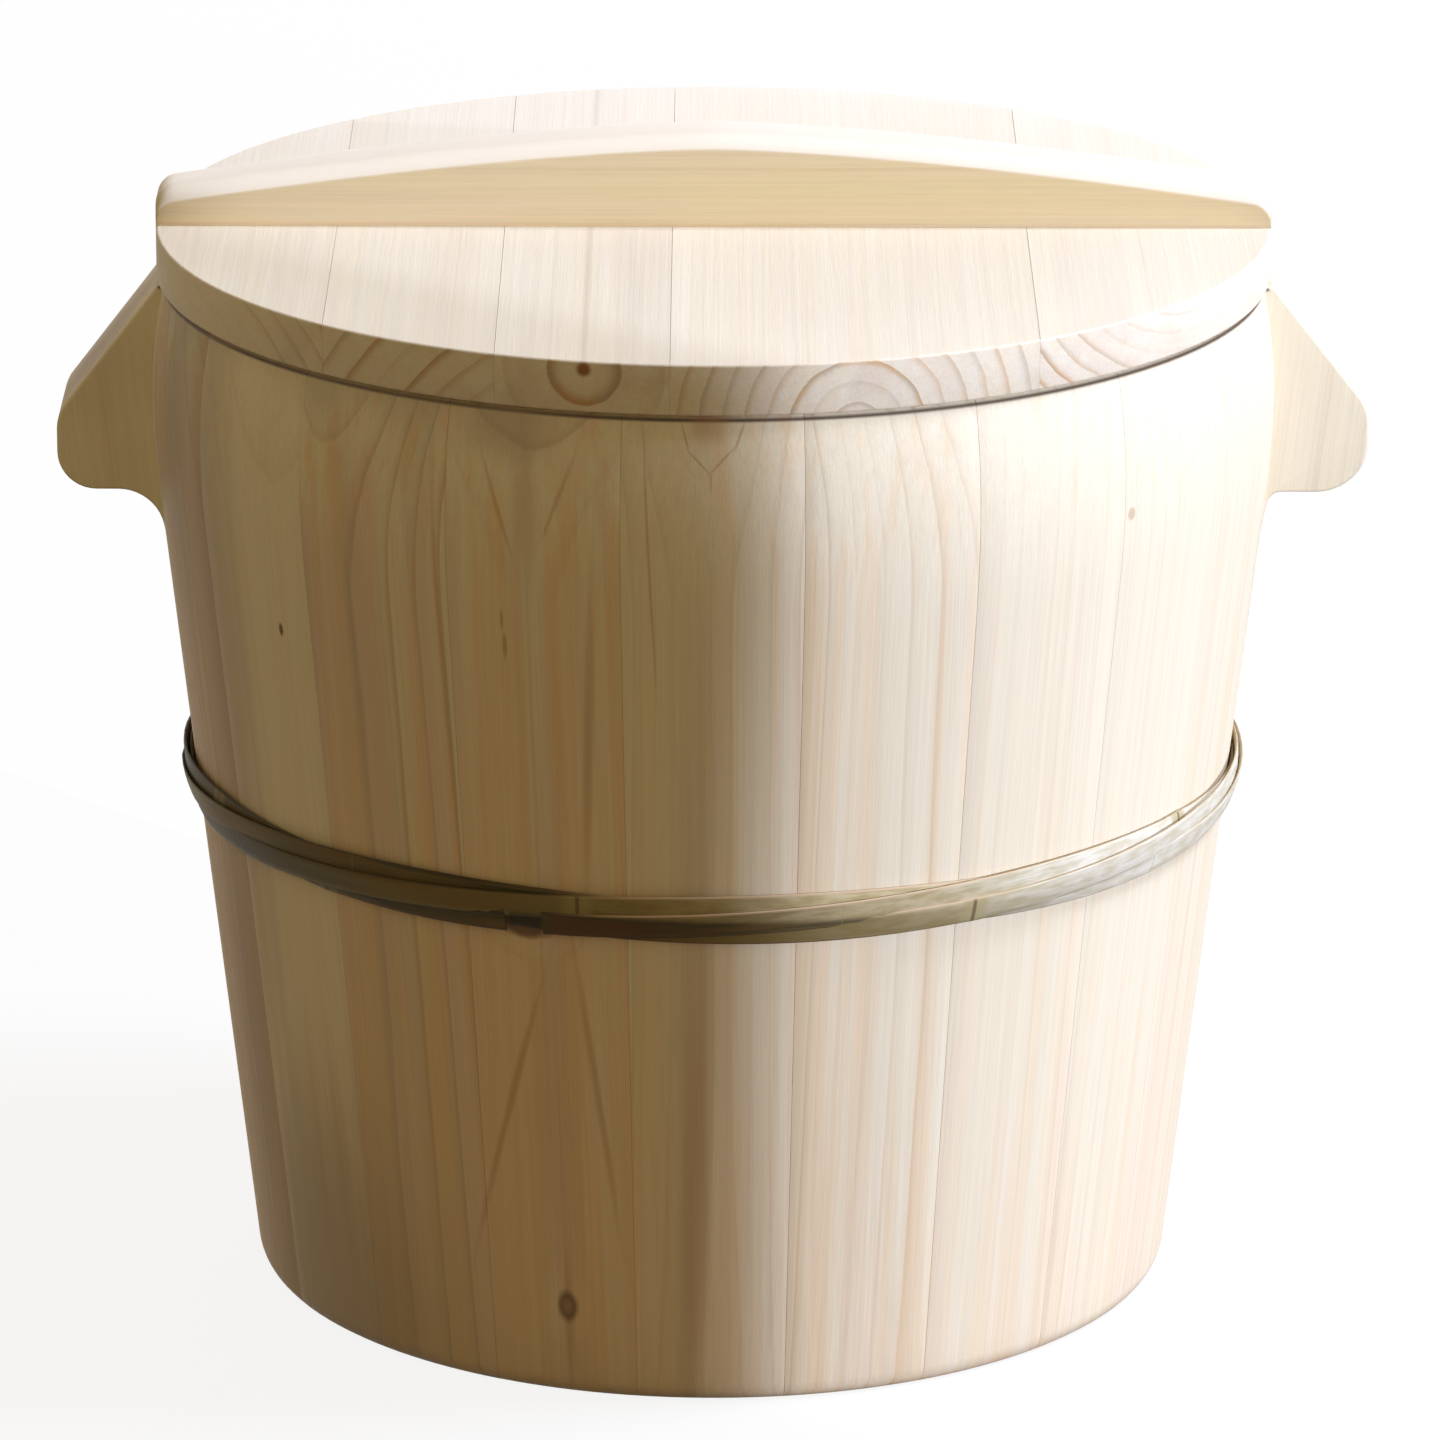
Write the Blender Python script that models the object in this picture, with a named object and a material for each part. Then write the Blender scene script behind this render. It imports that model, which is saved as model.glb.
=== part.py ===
# A wooden rice steamer bucket: fir staves held by a twisted bamboo hoop, with an ear at each side,
# a lift-off lid of boards on a dovetailed handle, and a loose slatted grate inside.
# Metres, +Z up. The origin is the middle of the foot, on the floor.
# The front is -Y, and the ears are at +X and -X.
import math

import bmesh
import bpy
import numpy as np
from mathutils import Matrix, Vector

# Bucket wall
BODY_HEIGHT = 0.2787          # foot to rim
FOOT_RADIUS = 0.1253          # outside of the cone, carried down to the floor
FLARE_RATIO = 0.1134          # growth of the wall's radius for each metre of height
WALL_THICKNESS = 0.0175
FOOT_ROUND_HEIGHT = 0.005     # rounded lower edge
FOOT_ROUND_DEPTH = 0.003
SHOULDER_HEIGHT = 0.060       # the wall rounds in under the rim over this height
SHOULDER_INSET = 0.0084
SHOULDER_POWER = 2.5          # 2 is a plain parabola, more keeps the wall full for longer
RIM_CHAMFER = 0.0012
LEDGE_HEIGHT = 0.030          # the grate rests on this step
LEDGE_WIDTH = 0.007

# Staves
STAVE_COUNT = 20
STAVE_GAP = 0.0003
STAVE_FACETS = 3              # flats across one stave
SHOULDER_FACETS = 7
FOOT_FACETS = 3

# Ears: cut by hand, so the left and the right one differ a little
EAR_REACH = 0.0283            # out from the rim
EAR_WIDTH = 0.035
EAR_TOP_DROP = 0.0005         # below the rim
EAR_HEIGHT = 0.0572
LEFT_EAR_SHELF = 0.0002       # level part of the top, before the slope
RIGHT_EAR_SHELF = 0.0019
LEFT_EAR_SLOPE_HEIGHT = 0.0365
RIGHT_EAR_SLOPE_HEIGHT = 0.0337
LEFT_EAR_NOSE_ROUND = 0.012   # between the slope and the upright end
RIGHT_EAR_NOSE_ROUND = 0.014
LEFT_EAR_TOE_ROUND = 0.0105   # lower outer corner
RIGHT_EAR_TOE_ROUND = 0.0140
LEFT_EAR_FILLET = 0.0125      # between the underside and the wall
RIGHT_EAR_FILLET = 0.004
EAR_ROOT_DEPTH = 0.006        # how far the ear's solid runs into the wall
EAR_TAIL_HEIGHT = 0.021       # under the ear the solid runs on down and fades into the wall
EAR_TAIL_SINK = 0.002
EAR_ARC_STEPS = 4

# Bamboo dowels, one in each joint between two staves
DOWEL_RADIUS = 0.0025
DOWEL_LENGTH = 0.024
DOWEL_SIDES = 10
DOWEL_CLEARANCE = 0.0003
DOWEL_DROP = 0.065            # below the rim

# Twisted bamboo hoop: one split wound four times round, twisting as it goes
HOOP_HEIGHT = 0.1411          # middle of the hoop above the floor
HOOP_ROUNDS = 4
HOOP_CROSSINGS = 9            # times the strands cross the outside in one circle
HOOP_STRIP_THICKNESS = 0.0017
HOOP_STRIP_WIDTH = 0.0058
HOOP_LAY_DEPTH = 0.0016       # half the spread of the strands, in and out
HOOP_LAY_HEIGHT = 0.0045      # half the spread of the strands, up and down
HOOP_LAY_START = math.radians(-61.0)   # the first end lies in the lower half, a little outside
HOOP_END_ANGLE = math.radians(-110.0)
HOOP_END_GAP = 0.0105
HOOP_SIDES = 8
HOOP_GAP_SIDES = 64           # finer sections, on which the gap between rounds is measured
HOOP_STEPS_A_ROUND = 60
HOOP_CLEARANCE = 0.0006

# Lid
LID_OVERHANG = 0.0015         # past the rim
LID_THICKNESS = 0.0135
LID_SEAT_GAP = 0.0003
LID_BOARD_GAP = 0.0003
MIDDLE_JOINT = -0.011         # the joint nearest the middle of the lid
NARROW_BOARD_WIDTH = 0.045    # the two boards left of that joint
WIDE_BOARD_WIDTH = 0.095      # the board right of it; the outer two boards take what is left
LID_RIM_FACETS = 72

# Lid handle
HANDLE_WIDTH = 0.0195
HANDLE_MIDDLE_HEIGHT = 0.0255 # above the lid
HANDLE_ARCH_DROP = 0.0155     # the ends are this much lower than the middle
HANDLE_ARCH_POWER = 1.5
HANDLE_EDGE_ROUND = 0.005
HANDLE_END_ROUND = 0.005
HANDLE_GAP = 0.0003
TONGUE_DEPTH = 0.005
TONGUE_NECK_WIDTH = 0.012
TONGUE_FOOT_WIDTH = 0.0155
HANDLE_STATIONS = 28
EDGE_STEPS = 3

# Grate
GRATE_CLEARANCE = 0.0008      # to the wall
GRATE_SEAT_GAP = 0.0003
SLAT_COUNT = 7                # evenly spaced
SLAT_WIDTH = 0.020
SLAT_THICKNESS = 0.009
SLAT_EDGE = 0.0074            # from the outermost slat's side to the edge of the grate's circle
ROD_OFFSET = 0.030            # from the middle of the grate
ROD_RADIUS = 0.0025
ROD_CLEARANCE = 0.0003
ROD_SINK = 0.0008             # its ends lie this deep in the outermost slats
GRATE_ARC_STEPS = 4

# Finishes: colour and roughness
FIR = (0.80, 0.66, 0.46), 0.62
GRATE_FIR = (0.76, 0.61, 0.42), 0.66
HANDLE_FIR = (0.77, 0.60, 0.37), 0.60
BAMBOO_SKIN = (0.30, 0.27, 0.14), 0.42
BAMBOO_PIN = (0.66, 0.50, 0.26), 0.55

CREASE = math.radians(35)     # edges sharper than this stay sharp where a piece is shaded smooth
SAME_POINT = 1e-6

STAVE_ANGLE = 2 * math.pi / STAVE_COUNT
HALF_STAVE = STAVE_ANGLE / 2


def clear_scene():
    for thing in list(bpy.data.objects):
        bpy.data.objects.remove(thing, do_unlink=True)


def material(name, look):
    colour, roughness = look
    finish = bpy.data.materials.new(name)
    finish.use_nodes = True
    shader = finish.node_tree.nodes["Principled BSDF"]
    shader.inputs["Base Color"].default_value = (*colour, 1.0)
    shader.inputs["Roughness"].default_value = roughness
    shader.inputs["Metallic"].default_value = 0.0
    return finish


def group(name, height):
    """An empty on the bucket's axis that carries the pieces which move together."""
    empty = bpy.data.objects.new(name, None)
    empty.location = (0, 0, height)
    bpy.context.collection.objects.link(empty)
    return empty


def add_object(name, mesh, parent=None, finish=None):
    thing = bpy.data.objects.new(name, mesh)
    bpy.context.collection.objects.link(thing)
    thing.parent = parent
    if finish:
        mesh.materials.append(finish)
    return thing


def mesh_from(name, points, faces):
    """A closed mesh from points and faces, its normals turned outwards."""
    work = bmesh.new()
    corners = [work.verts.new(point) for point in points]
    for face in faces:
        work.faces.new([corners[index] for index in face])
    bmesh.ops.recalc_face_normals(work, faces=work.faces)
    mesh = bpy.data.meshes.new(name)
    work.to_mesh(mesh)
    work.free()
    return mesh


def loft(name, rings):
    """A solid through equal rings of points, closed by its first and last ring."""
    size = len(rings[0])
    points = [point for ring in rings for point in ring]
    faces = [list(range(size))]
    for step in range(len(rings) - 1):
        low, high = step * size, (step + 1) * size
        for side in range(size):
            follow = (side + 1) % size
            faces.append([low + side, low + follow, high + follow, high + side])
    faces.append([len(points) - size + side for side in range(size)])
    return mesh_from(name, points, faces)


def prism(name, outline, low, high):
    """An outline in X and Y, raised from one height to another."""
    return loft(name, [[(x, y, low) for x, y in outline], [(x, y, high) for x, y in outline]])


def rod(name, start, stop, radius, sides):
    """A straight level rod between two points."""
    start, stop = Vector(start), Vector(stop)
    up = Vector((0, 0, 1))
    across = (stop - start).cross(up).normalized()
    turns = [2 * math.pi * (side + 0.5) / sides for side in range(sides)]
    rim = [radius * (math.cos(turn) * across + math.sin(turn) * up) for turn in turns]
    return loft(name, [[end + spoke for spoke in rim] for end in (start, stop)])


def hole_radius(rod_radius, clearance, sides):
    """Radius to the corners of a many-sided hole whose flats clear the rod."""
    return (rod_radius + clearance) / math.cos(math.pi / sides)


def add_cutter(name, mesh, parent=None):
    cutter = add_object(name, mesh, parent)
    cutter.hide_render = True
    cutter.display_type = "WIRE"
    return cutter


def combine(thing, other, operation):
    step = thing.modifiers.new(operation.lower(), "BOOLEAN")
    step.operation = operation
    step.solver = "EXACT"
    step.object = other


def smooth(mesh):
    mesh.shade_smooth()
    mesh.set_sharp_from_angle(angle=CREASE)


def round_corners(corners, steps):
    """An outline whose corners, given as (x, y, radius), are replaced by arcs."""
    outline = []
    for index, (x, y, radius) in enumerate(corners):
        corner = Vector((x, y))
        if radius == 0:
            outline.append((x, y))
            continue
        before = (Vector(corners[index - 1][:2]) - corner).normalized()
        after = (Vector(corners[(index + 1) % len(corners)][:2]) - corner).normalized()
        half = before.angle(after) / 2
        middle = corner + (before + after).normalized() * radius / math.sin(half)
        first = corner + before * radius / math.tan(half) - middle
        last = corner + after * radius / math.tan(half) - middle
        turn = first.angle_signed(last)
        for step in range(steps + 1):
            share = step / steps
            outline.append(tuple(middle + Matrix.Rotation(-turn * share, 2) @ first))
    return outline


def strip_outline(low, high, radius, steps):
    """A strip along Y between two values of X, its ends cut by a circle."""
    def arc(start, stop, side):
        first, last = math.acos(start / radius), math.acos(stop / radius)
        turns = [first + (last - first) * step / steps for step in range(steps + 1)]
        return [(radius * math.cos(turn), side * radius * math.sin(turn)) for turn in turns]
    low, high = max(low, -radius), min(high, radius)
    outline = arc(high, low, 1) + arc(low, high, -1)
    return [point for index, point in enumerate(outline) if math.dist(point, outline[index - 1]) > SAME_POINT]


# Wall
def cone_radius(height):
    return FOOT_RADIUS + FLARE_RATIO * height


def outer_radius(height):
    """The outside of the wall: a straight cone, rounded in under the rim and at the foot."""
    radius = cone_radius(height)
    shoulder = (height - (BODY_HEIGHT - SHOULDER_HEIGHT)) / SHOULDER_HEIGHT
    if shoulder > 0:
        radius -= SHOULDER_INSET * shoulder ** SHOULDER_POWER
    if height < FOOT_ROUND_HEIGHT:
        rise = 1 - height / FOOT_ROUND_HEIGHT
        radius -= FOOT_ROUND_DEPTH * (1 - math.sqrt(1 - rise ** 2))
    return radius


def inner_radius(height):
    return cone_radius(height) - WALL_THICKNESS


RIM_RADIUS = outer_radius(BODY_HEIGHT)
LEDGE_RADIUS = inner_radius(LEDGE_HEIGHT) - LEDGE_WIDTH


def wall_section():
    """Points (radius, height) round the wall's section, from the foot up the outside."""
    turns = [math.pi / 2 * step / FOOT_FACETS for step in range(FOOT_FACETS + 1)]
    heights = [FOOT_ROUND_HEIGHT * (1 - math.cos(turn)) for turn in turns]
    rises = [step / SHOULDER_FACETS for step in range(SHOULDER_FACETS + 1)]
    heights += [BODY_HEIGHT - SHOULDER_HEIGHT * (1 - rise) for rise in rises]
    outside = [(outer_radius(height), height) for height in heights]
    inside = [
        (inner_radius(BODY_HEIGHT) + RIM_CHAMFER, BODY_HEIGHT),
        (inner_radius(BODY_HEIGHT - RIM_CHAMFER), BODY_HEIGHT - RIM_CHAMFER),
        (inner_radius(LEDGE_HEIGHT), LEDGE_HEIGHT),
        (LEDGE_RADIUS, LEDGE_HEIGHT),
        (LEDGE_RADIUS, 0.0),
    ]
    return outside + inside


def stave_mesh(name):
    """One stave, centred on +X, with both side faces half a gap short of the joint planes."""
    section = wall_section()
    rings = []
    for step in range(STAVE_FACETS + 1):
        share = 2 * step / STAVE_FACETS - 1
        ring = []
        for radius, height in section:
            turn = share * (HALF_STAVE - math.asin(STAVE_GAP / 2 / radius))
            ring.append((radius * math.cos(turn), radius * math.sin(turn), height))
        rings.append(ring)
    return loft(name, rings)


# Each ear's shelf, slope height, nose round, toe round and fillet
LEFT_EAR = (LEFT_EAR_SHELF, LEFT_EAR_SLOPE_HEIGHT, LEFT_EAR_NOSE_ROUND, LEFT_EAR_TOE_ROUND,
            LEFT_EAR_FILLET)
RIGHT_EAR = (RIGHT_EAR_SHELF, RIGHT_EAR_SLOPE_HEIGHT, RIGHT_EAR_NOSE_ROUND, RIGHT_EAR_TOE_ROUND,
             RIGHT_EAR_FILLET)


def ear_mesh(name, shape):
    """An ear on the +X stave: an outline in X and Z, as wide as the ear along Y."""
    shelf, slope_height, nose_round, toe_round, fillet = shape
    top = BODY_HEIGHT - EAR_TOP_DROP
    bottom = top - EAR_HEIGHT
    nose = top - slope_height
    tip = RIM_RADIUS + EAR_REACH
    tail = bottom - EAR_TAIL_HEIGHT
    corners = [
        (RIM_RADIUS - EAR_ROOT_DEPTH, top, 0),
        (RIM_RADIUS + shelf, top, 0),
        (tip, nose, nose_round),
        (tip, bottom, toe_round),
        (outer_radius(bottom), bottom, fillet),
        (outer_radius(tail) - EAR_TAIL_SINK, tail, 0),
        (outer_radius(tail) - EAR_ROOT_DEPTH, tail, 0),
    ]
    outline = round_corners(corners, EAR_ARC_STEPS)
    sides = (-EAR_WIDTH / 2, EAR_WIDTH / 2)
    return loft(name, [[(x, side, z) for x, z in outline] for side in sides])


def joint_rod(name, index, length, radius):
    """A rod square to the joint after the stave of this index, in the middle of the wall."""
    height = BODY_HEIGHT - DOWEL_DROP
    depth = cone_radius(height) - WALL_THICKNESS / 2
    turn = (index + 0.5) * STAVE_ANGLE
    middle = Vector((depth * math.cos(turn), depth * math.sin(turn), height))
    along = Vector((-math.sin(turn), math.cos(turn), 0)) * length / 2
    return rod(name, middle - along, middle + along, radius, DOWEL_SIDES)


def build_staves(bucket, fir, bamboo):
    bore = hole_radius(DOWEL_RADIUS, DOWEL_CLEARANCE, DOWEL_SIDES)
    holes = []
    for index in range(STAVE_COUNT):
        name = f"stave_dowel_{index + 1:02d}"
        add_object(name, joint_rod(name, index, DOWEL_LENGTH, DOWEL_RADIUS), bucket, bamboo)
        hole = joint_rod(name + "_hole", index, DOWEL_LENGTH + 2 * DOWEL_CLEARANCE, bore)
        holes.append(add_cutter(name + "_hole", hole, bucket))

    plain = stave_mesh("stave")
    ear_stave = stave_mesh("ear_stave")
    for mesh in (plain, ear_stave):
        mesh.materials.append(fir)
        smooth(mesh)
    ears = {0: ("ear_stave_right", RIGHT_EAR), STAVE_COUNT // 2: ("ear_stave_left", LEFT_EAR)}
    for index in range(STAVE_COUNT):
        turn = index * STAVE_ANGLE
        if index in ears:
            name, shape = ears[index]
            stave = add_object(name, ear_stave, bucket)
            ear = add_cutter(name + "_ear", ear_mesh(name + "_ear", shape), bucket)
            ear.rotation_euler.z = turn
            combine(stave, ear, "UNION")
        else:
            stave = add_object(f"stave_{index:02d}", plain, bucket)
        stave.rotation_euler.z = turn
        for hole in (holes[index - 1], holes[index]):
            combine(stave, hole, "DIFFERENCE")


# Hoop
def hoop_rings(sides):
    """Rings of the split: it circles the wall while it turns about the middle of the hoop.

    Round the bucket it goes HOOP_ROUNDS times. The lay turns HOOP_CROSSINGS / HOOP_ROUNDS times in one
    round, so each round lies a quarter turn behind the one before. Every point leans with the wall.
    """
    half_thickness, half_width = HOOP_STRIP_THICKNESS / 2, HOOP_STRIP_WIDTH / 2
    middle_radius = cone_radius(HOOP_HEIGHT) + HOOP_CLEARANCE + HOOP_LAY_DEPTH + half_thickness
    end = HOOP_END_GAP / 2 / middle_radius
    step = 2 * math.pi / HOOP_STEPS_A_ROUND
    stop = 2 * math.pi * HOOP_ROUNDS - end
    travel = np.append(np.arange(end, stop - step / 4, step), stop)
    lay = HOOP_LAY_START + travel * HOOP_CROSSINGS / HOOP_ROUNDS
    turn = travel + HOOP_END_ANGLE
    rim = 2 * math.pi * (np.arange(sides) + 0.5) / sides
    out = HOOP_LAY_DEPTH * np.cos(lay)[:, None] + half_thickness * np.cos(rim)[None, :]
    up = HOOP_LAY_HEIGHT * np.sin(lay)[:, None] + half_width * np.sin(rim)[None, :]
    radius = middle_radius + out + FLARE_RATIO * up
    x, y = radius * np.cos(turn)[:, None], radius * np.sin(turn)[:, None]
    return np.stack([x, y, HOOP_HEIGHT + up], axis=2)


def least_gap(rings):
    """The least distance between the surfaces of two rounds, on the rings that face the same way."""
    least = math.inf
    for apart in range(1, HOOP_ROUNDS):
        later = rings[apart * HOOP_STEPS_A_ROUND:-1]
        earlier = rings[:len(later)]
        between = earlier[:, :, None, :] - later[:, None, :, :]
        least = min(least, float(np.sqrt((between ** 2).sum(axis=3)).min()))
    return least


def build_hoop(bucket, bamboo):
    print(f"hoop: least gap to itself {least_gap(hoop_rings(HOOP_GAP_SIDES)) * 1000:.2f} mm")
    hoop = add_object("bamboo_hoop", loft("bamboo_hoop", hoop_rings(HOOP_SIDES).tolist()), bucket, bamboo)
    smooth(hoop.data)


# Lid
LID_RADIUS = RIM_RADIUS + LID_OVERHANG


def build_lid(lid, fir, handle_fir):
    """Boards side by side along X, with their grain along Y, held together by the dovetailed handle."""
    groove = add_cutter("handle_groove", groove_mesh(), lid)
    offsets = (-2 * NARROW_BOARD_WIDTH, -NARROW_BOARD_WIDTH, 0, WIDE_BOARD_WIDTH)
    edges = [-LID_RADIUS, *(MIDDLE_JOINT + offset for offset in offsets), LID_RADIUS]
    for index, (low, high) in enumerate(zip(edges, edges[1:]), start=1):
        low, high = low + LID_BOARD_GAP / 2, high - LID_BOARD_GAP / 2
        span = math.acos(low / LID_RADIUS) - math.acos(high / LID_RADIUS)
        steps = math.ceil(LID_RIM_FACETS * span / (2 * math.pi))
        name = f"lid_board_{index}"
        outline = strip_outline(low, high, LID_RADIUS, steps)
        board = add_object(name, prism(name, outline, 0.0, LID_THICKNESS), lid, fir)
        combine(board, groove, "DIFFERENCE")
    handle = add_object("lid_handle", handle_mesh(), lid, handle_fir)
    smooth(handle.data)


def groove_mesh():
    """The dovetail groove's cutter: the tongue and a gap all round it, past both ends of the lid."""
    lean = (TONGUE_FOOT_WIDTH - TONGUE_NECK_WIDTH) / 2 / TONGUE_DEPTH
    neck = TONGUE_NECK_WIDTH / 2 + HANDLE_GAP
    depth = TONGUE_DEPTH + HANDLE_GAP
    foot = neck + lean * depth
    over = neck - lean * depth
    outline = [(-foot, LID_THICKNESS - depth), (foot, LID_THICKNESS - depth),
               (over, LID_THICKNESS + depth), (-over, LID_THICKNESS + depth)]
    reach = LID_RADIUS + depth
    return loft("handle_groove", [[(x, y, z) for y, z in outline] for x in (-reach, reach)])


def handle_height(x):
    """Height of the handle's ridge above the lid: a low arch whose ends are rounded off."""
    height = HANDLE_MIDDLE_HEIGHT - HANDLE_ARCH_DROP * (abs(x) / LID_RADIUS) ** HANDLE_ARCH_POWER
    into_end = abs(x) - (LID_RADIUS - HANDLE_END_ROUND)
    if into_end > 0:
        height -= HANDLE_END_ROUND - math.sqrt(max(HANDLE_END_ROUND ** 2 - into_end ** 2, 0))
    return height


def handle_mesh():
    """Sections in Y and Z along X. The end sections bow out with the lid's rim."""
    half = HANDLE_WIDTH / 2
    straight = LID_RADIUS - HANDLE_END_ROUND
    turns = [math.pi / 2 * step / EDGE_STEPS for step in range(EDGE_STEPS + 1)]
    ends = [straight + HANDLE_END_ROUND * math.sin(turn) for turn in turns[1:]]
    places = [-straight + 2 * straight * step / HANDLE_STATIONS for step in range(HANDLE_STATIONS + 1)]
    places = [-place for place in reversed(ends)] + places + ends
    rings = []
    for place in places:
        top = LID_THICKNESS + handle_height(place)
        seat = LID_THICKNESS + HANDLE_GAP
        side = [(TONGUE_FOOT_WIDTH / 2, LID_THICKNESS - TONGUE_DEPTH), (TONGUE_NECK_WIDTH / 2, LID_THICKNESS),
                (TONGUE_NECK_WIDTH / 2, seat), (half, seat)]
        for turn in turns:
            y = half - HANDLE_EDGE_ROUND * (1 - math.cos(turn))
            side.append((y, top - HANDLE_EDGE_ROUND * (1 - math.sin(turn))))
        section = side + [(-y, z) for y, z in reversed(side)]
        share = place / LID_RADIUS
        rings.append([(share * math.sqrt(LID_RADIUS ** 2 - y ** 2), y, z) for y, z in section])
    return loft("lid_handle", rings)


# Grate
def build_grate(grate, fir, bamboo):
    """Slats along Y, threaded on two bamboo rods along X. The slats' ends rest on the ledge."""
    radius = inner_radius(LEDGE_HEIGHT) - GRATE_CLEARANCE
    reach = radius - SLAT_EDGE
    pitch = (2 * reach - SLAT_WIDTH) / (SLAT_COUNT - 1)
    middle = SLAT_THICKNESS / 2
    bore = hole_radius(ROD_RADIUS, ROD_CLEARANCE, DOWEL_SIDES)
    holes = []
    for name, y in (("grate_rod_front", -ROD_OFFSET), ("grate_rod_back", ROD_OFFSET)):
        end = reach - ROD_SINK
        mesh = rod(name, (-end, y, middle), (end, y, middle), ROD_RADIUS, DOWEL_SIDES)
        add_object(name, mesh, grate, bamboo)
        hole = rod(name + "_hole", (-radius, y, middle), (radius, y, middle), bore, DOWEL_SIDES)
        holes.append(add_cutter(name + "_hole", hole, grate))
    for index in range(SLAT_COUNT):
        low = index * pitch - reach
        name = f"grate_slat_{index + 1}"
        outline = strip_outline(low, low + SLAT_WIDTH, radius, GRATE_ARC_STEPS)
        slat = add_object(name, prism(name, outline, 0.0, SLAT_THICKNESS), grate, fir)
        for hole in holes:
            combine(slat, hole, "DIFFERENCE")


def main():
    clear_scene()
    fir = material("fir", FIR)
    bamboo = material("bamboo_pin", BAMBOO_PIN)
    bucket = group("bucket", 0.0)
    lid = group("lid", BODY_HEIGHT + LID_SEAT_GAP)
    grate = group("grate", LEDGE_HEIGHT + GRATE_SEAT_GAP)
    build_staves(bucket, fir, bamboo)
    build_hoop(bucket, material("bamboo_skin", BAMBOO_SKIN))
    build_lid(lid, fir, material("handle_fir", HANDLE_FIR))
    build_grate(grate, material("grate_fir", GRATE_FIR), bamboo)


main()
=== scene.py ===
# %% [markdown]
# # A wooden rice steamer bucket
# A steamer bucket is cooper's work: tapered fir staves stand edge to edge in a cone, a twisted bamboo
# hoop holds them, and a flat lid of boards lies on the rim. The solids of the bucket come from the
# frame. This script keeps them as the guide for size and place, and gives every piece its planed,
# grained surface.

# %% Load the solids of the bucket
import math

import bpy
import numpy as np
from mathutils import Matrix, Vector


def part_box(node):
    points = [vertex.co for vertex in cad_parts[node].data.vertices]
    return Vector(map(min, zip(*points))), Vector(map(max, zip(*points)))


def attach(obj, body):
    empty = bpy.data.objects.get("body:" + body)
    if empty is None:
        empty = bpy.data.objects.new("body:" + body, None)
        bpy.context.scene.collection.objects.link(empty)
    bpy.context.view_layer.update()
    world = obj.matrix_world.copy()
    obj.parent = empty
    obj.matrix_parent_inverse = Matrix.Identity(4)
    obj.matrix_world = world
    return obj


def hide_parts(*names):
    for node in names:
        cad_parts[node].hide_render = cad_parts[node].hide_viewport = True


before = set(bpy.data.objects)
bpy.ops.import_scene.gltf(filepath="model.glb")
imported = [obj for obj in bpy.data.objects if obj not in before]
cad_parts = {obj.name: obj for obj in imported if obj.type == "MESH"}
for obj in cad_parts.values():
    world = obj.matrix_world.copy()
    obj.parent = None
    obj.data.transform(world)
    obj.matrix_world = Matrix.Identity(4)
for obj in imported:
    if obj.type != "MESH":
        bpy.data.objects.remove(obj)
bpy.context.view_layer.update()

# %% [markdown]
# ## The camera
# The bucket is seen from a little above and from far away, through a long lens, so its ellipses are
# shallow and its sides hardly converge. The place and the lens were found by fitting the ellipses of
# the lid and the foot. The fit gives a lens of 235 mm on a 36 mm sensor, and a small roll.

# %% Set up the camera
CAMERA_PLACE = Vector((0.0, -2.456, 0.9252))
CAMERA_PITCH = math.radians(17.503)
CAMERA_YAW = math.radians(0.0494)     # to the right
CAMERA_ROLL = math.radians(0.155)
CAMERA_LENS = 235.04

camera = bpy.data.objects.new("camera", bpy.data.cameras.new("camera"))
camera.data.lens = CAMERA_LENS
camera.data.sensor_width = 36.0
camera.data.clip_end = 50.0
bpy.context.scene.collection.objects.link(camera)
tilt = Matrix.Rotation(math.pi / 2 - CAMERA_PITCH, 4, "X") @ Matrix.Rotation(CAMERA_ROLL, 4, "Z")
camera.matrix_world = Matrix.Translation(CAMERA_PLACE) @ Matrix.Rotation(-CAMERA_YAW, 4, "Z") @ tilt
bpy.context.scene.camera = camera
print("camera lens", CAMERA_LENS, "mm, at", *CAMERA_PLACE)

# %% [markdown]
# ## Shader maths as plain expressions
# Wood needs a lot of arithmetic between nodes, and wiring it by hand hides the formula. Here a small
# class wraps a node's output, so that an expression such as `late * strength + 0.1` adds its own Math
# nodes.

# %% Wrap a socket
class Wire:
    """One output of a node, in a finish. Arithmetic on it adds Math nodes."""

    def __init__(self, finish, socket):
        self.finish = finish
        self.socket = socket

    def math(self, operation, *others):
        return self.finish.add("Math", (self, *others), operation=operation)

    def __add__(self, other):
        return self.math("ADD", other)

    def __sub__(self, other):
        return self.math("SUBTRACT", other)

    def __rsub__(self, other):
        return self.finish.add("Math", (other, self), operation="SUBTRACT")

    def __mul__(self, other):
        return self.math("MULTIPLY", other)

    def __truediv__(self, other):
        return self.math("DIVIDE", other)

    __radd__ = __add__
    __rmul__ = __mul__


print("a wire takes + - * /")

# %% [markdown]
# ## A finish and its nodes
# Every other node comes from one method of the finish, which sets the node's options first and its
# sockets after that. Short methods on top of it give the steps, mixes and noises that wood and bamboo
# share.

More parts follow.
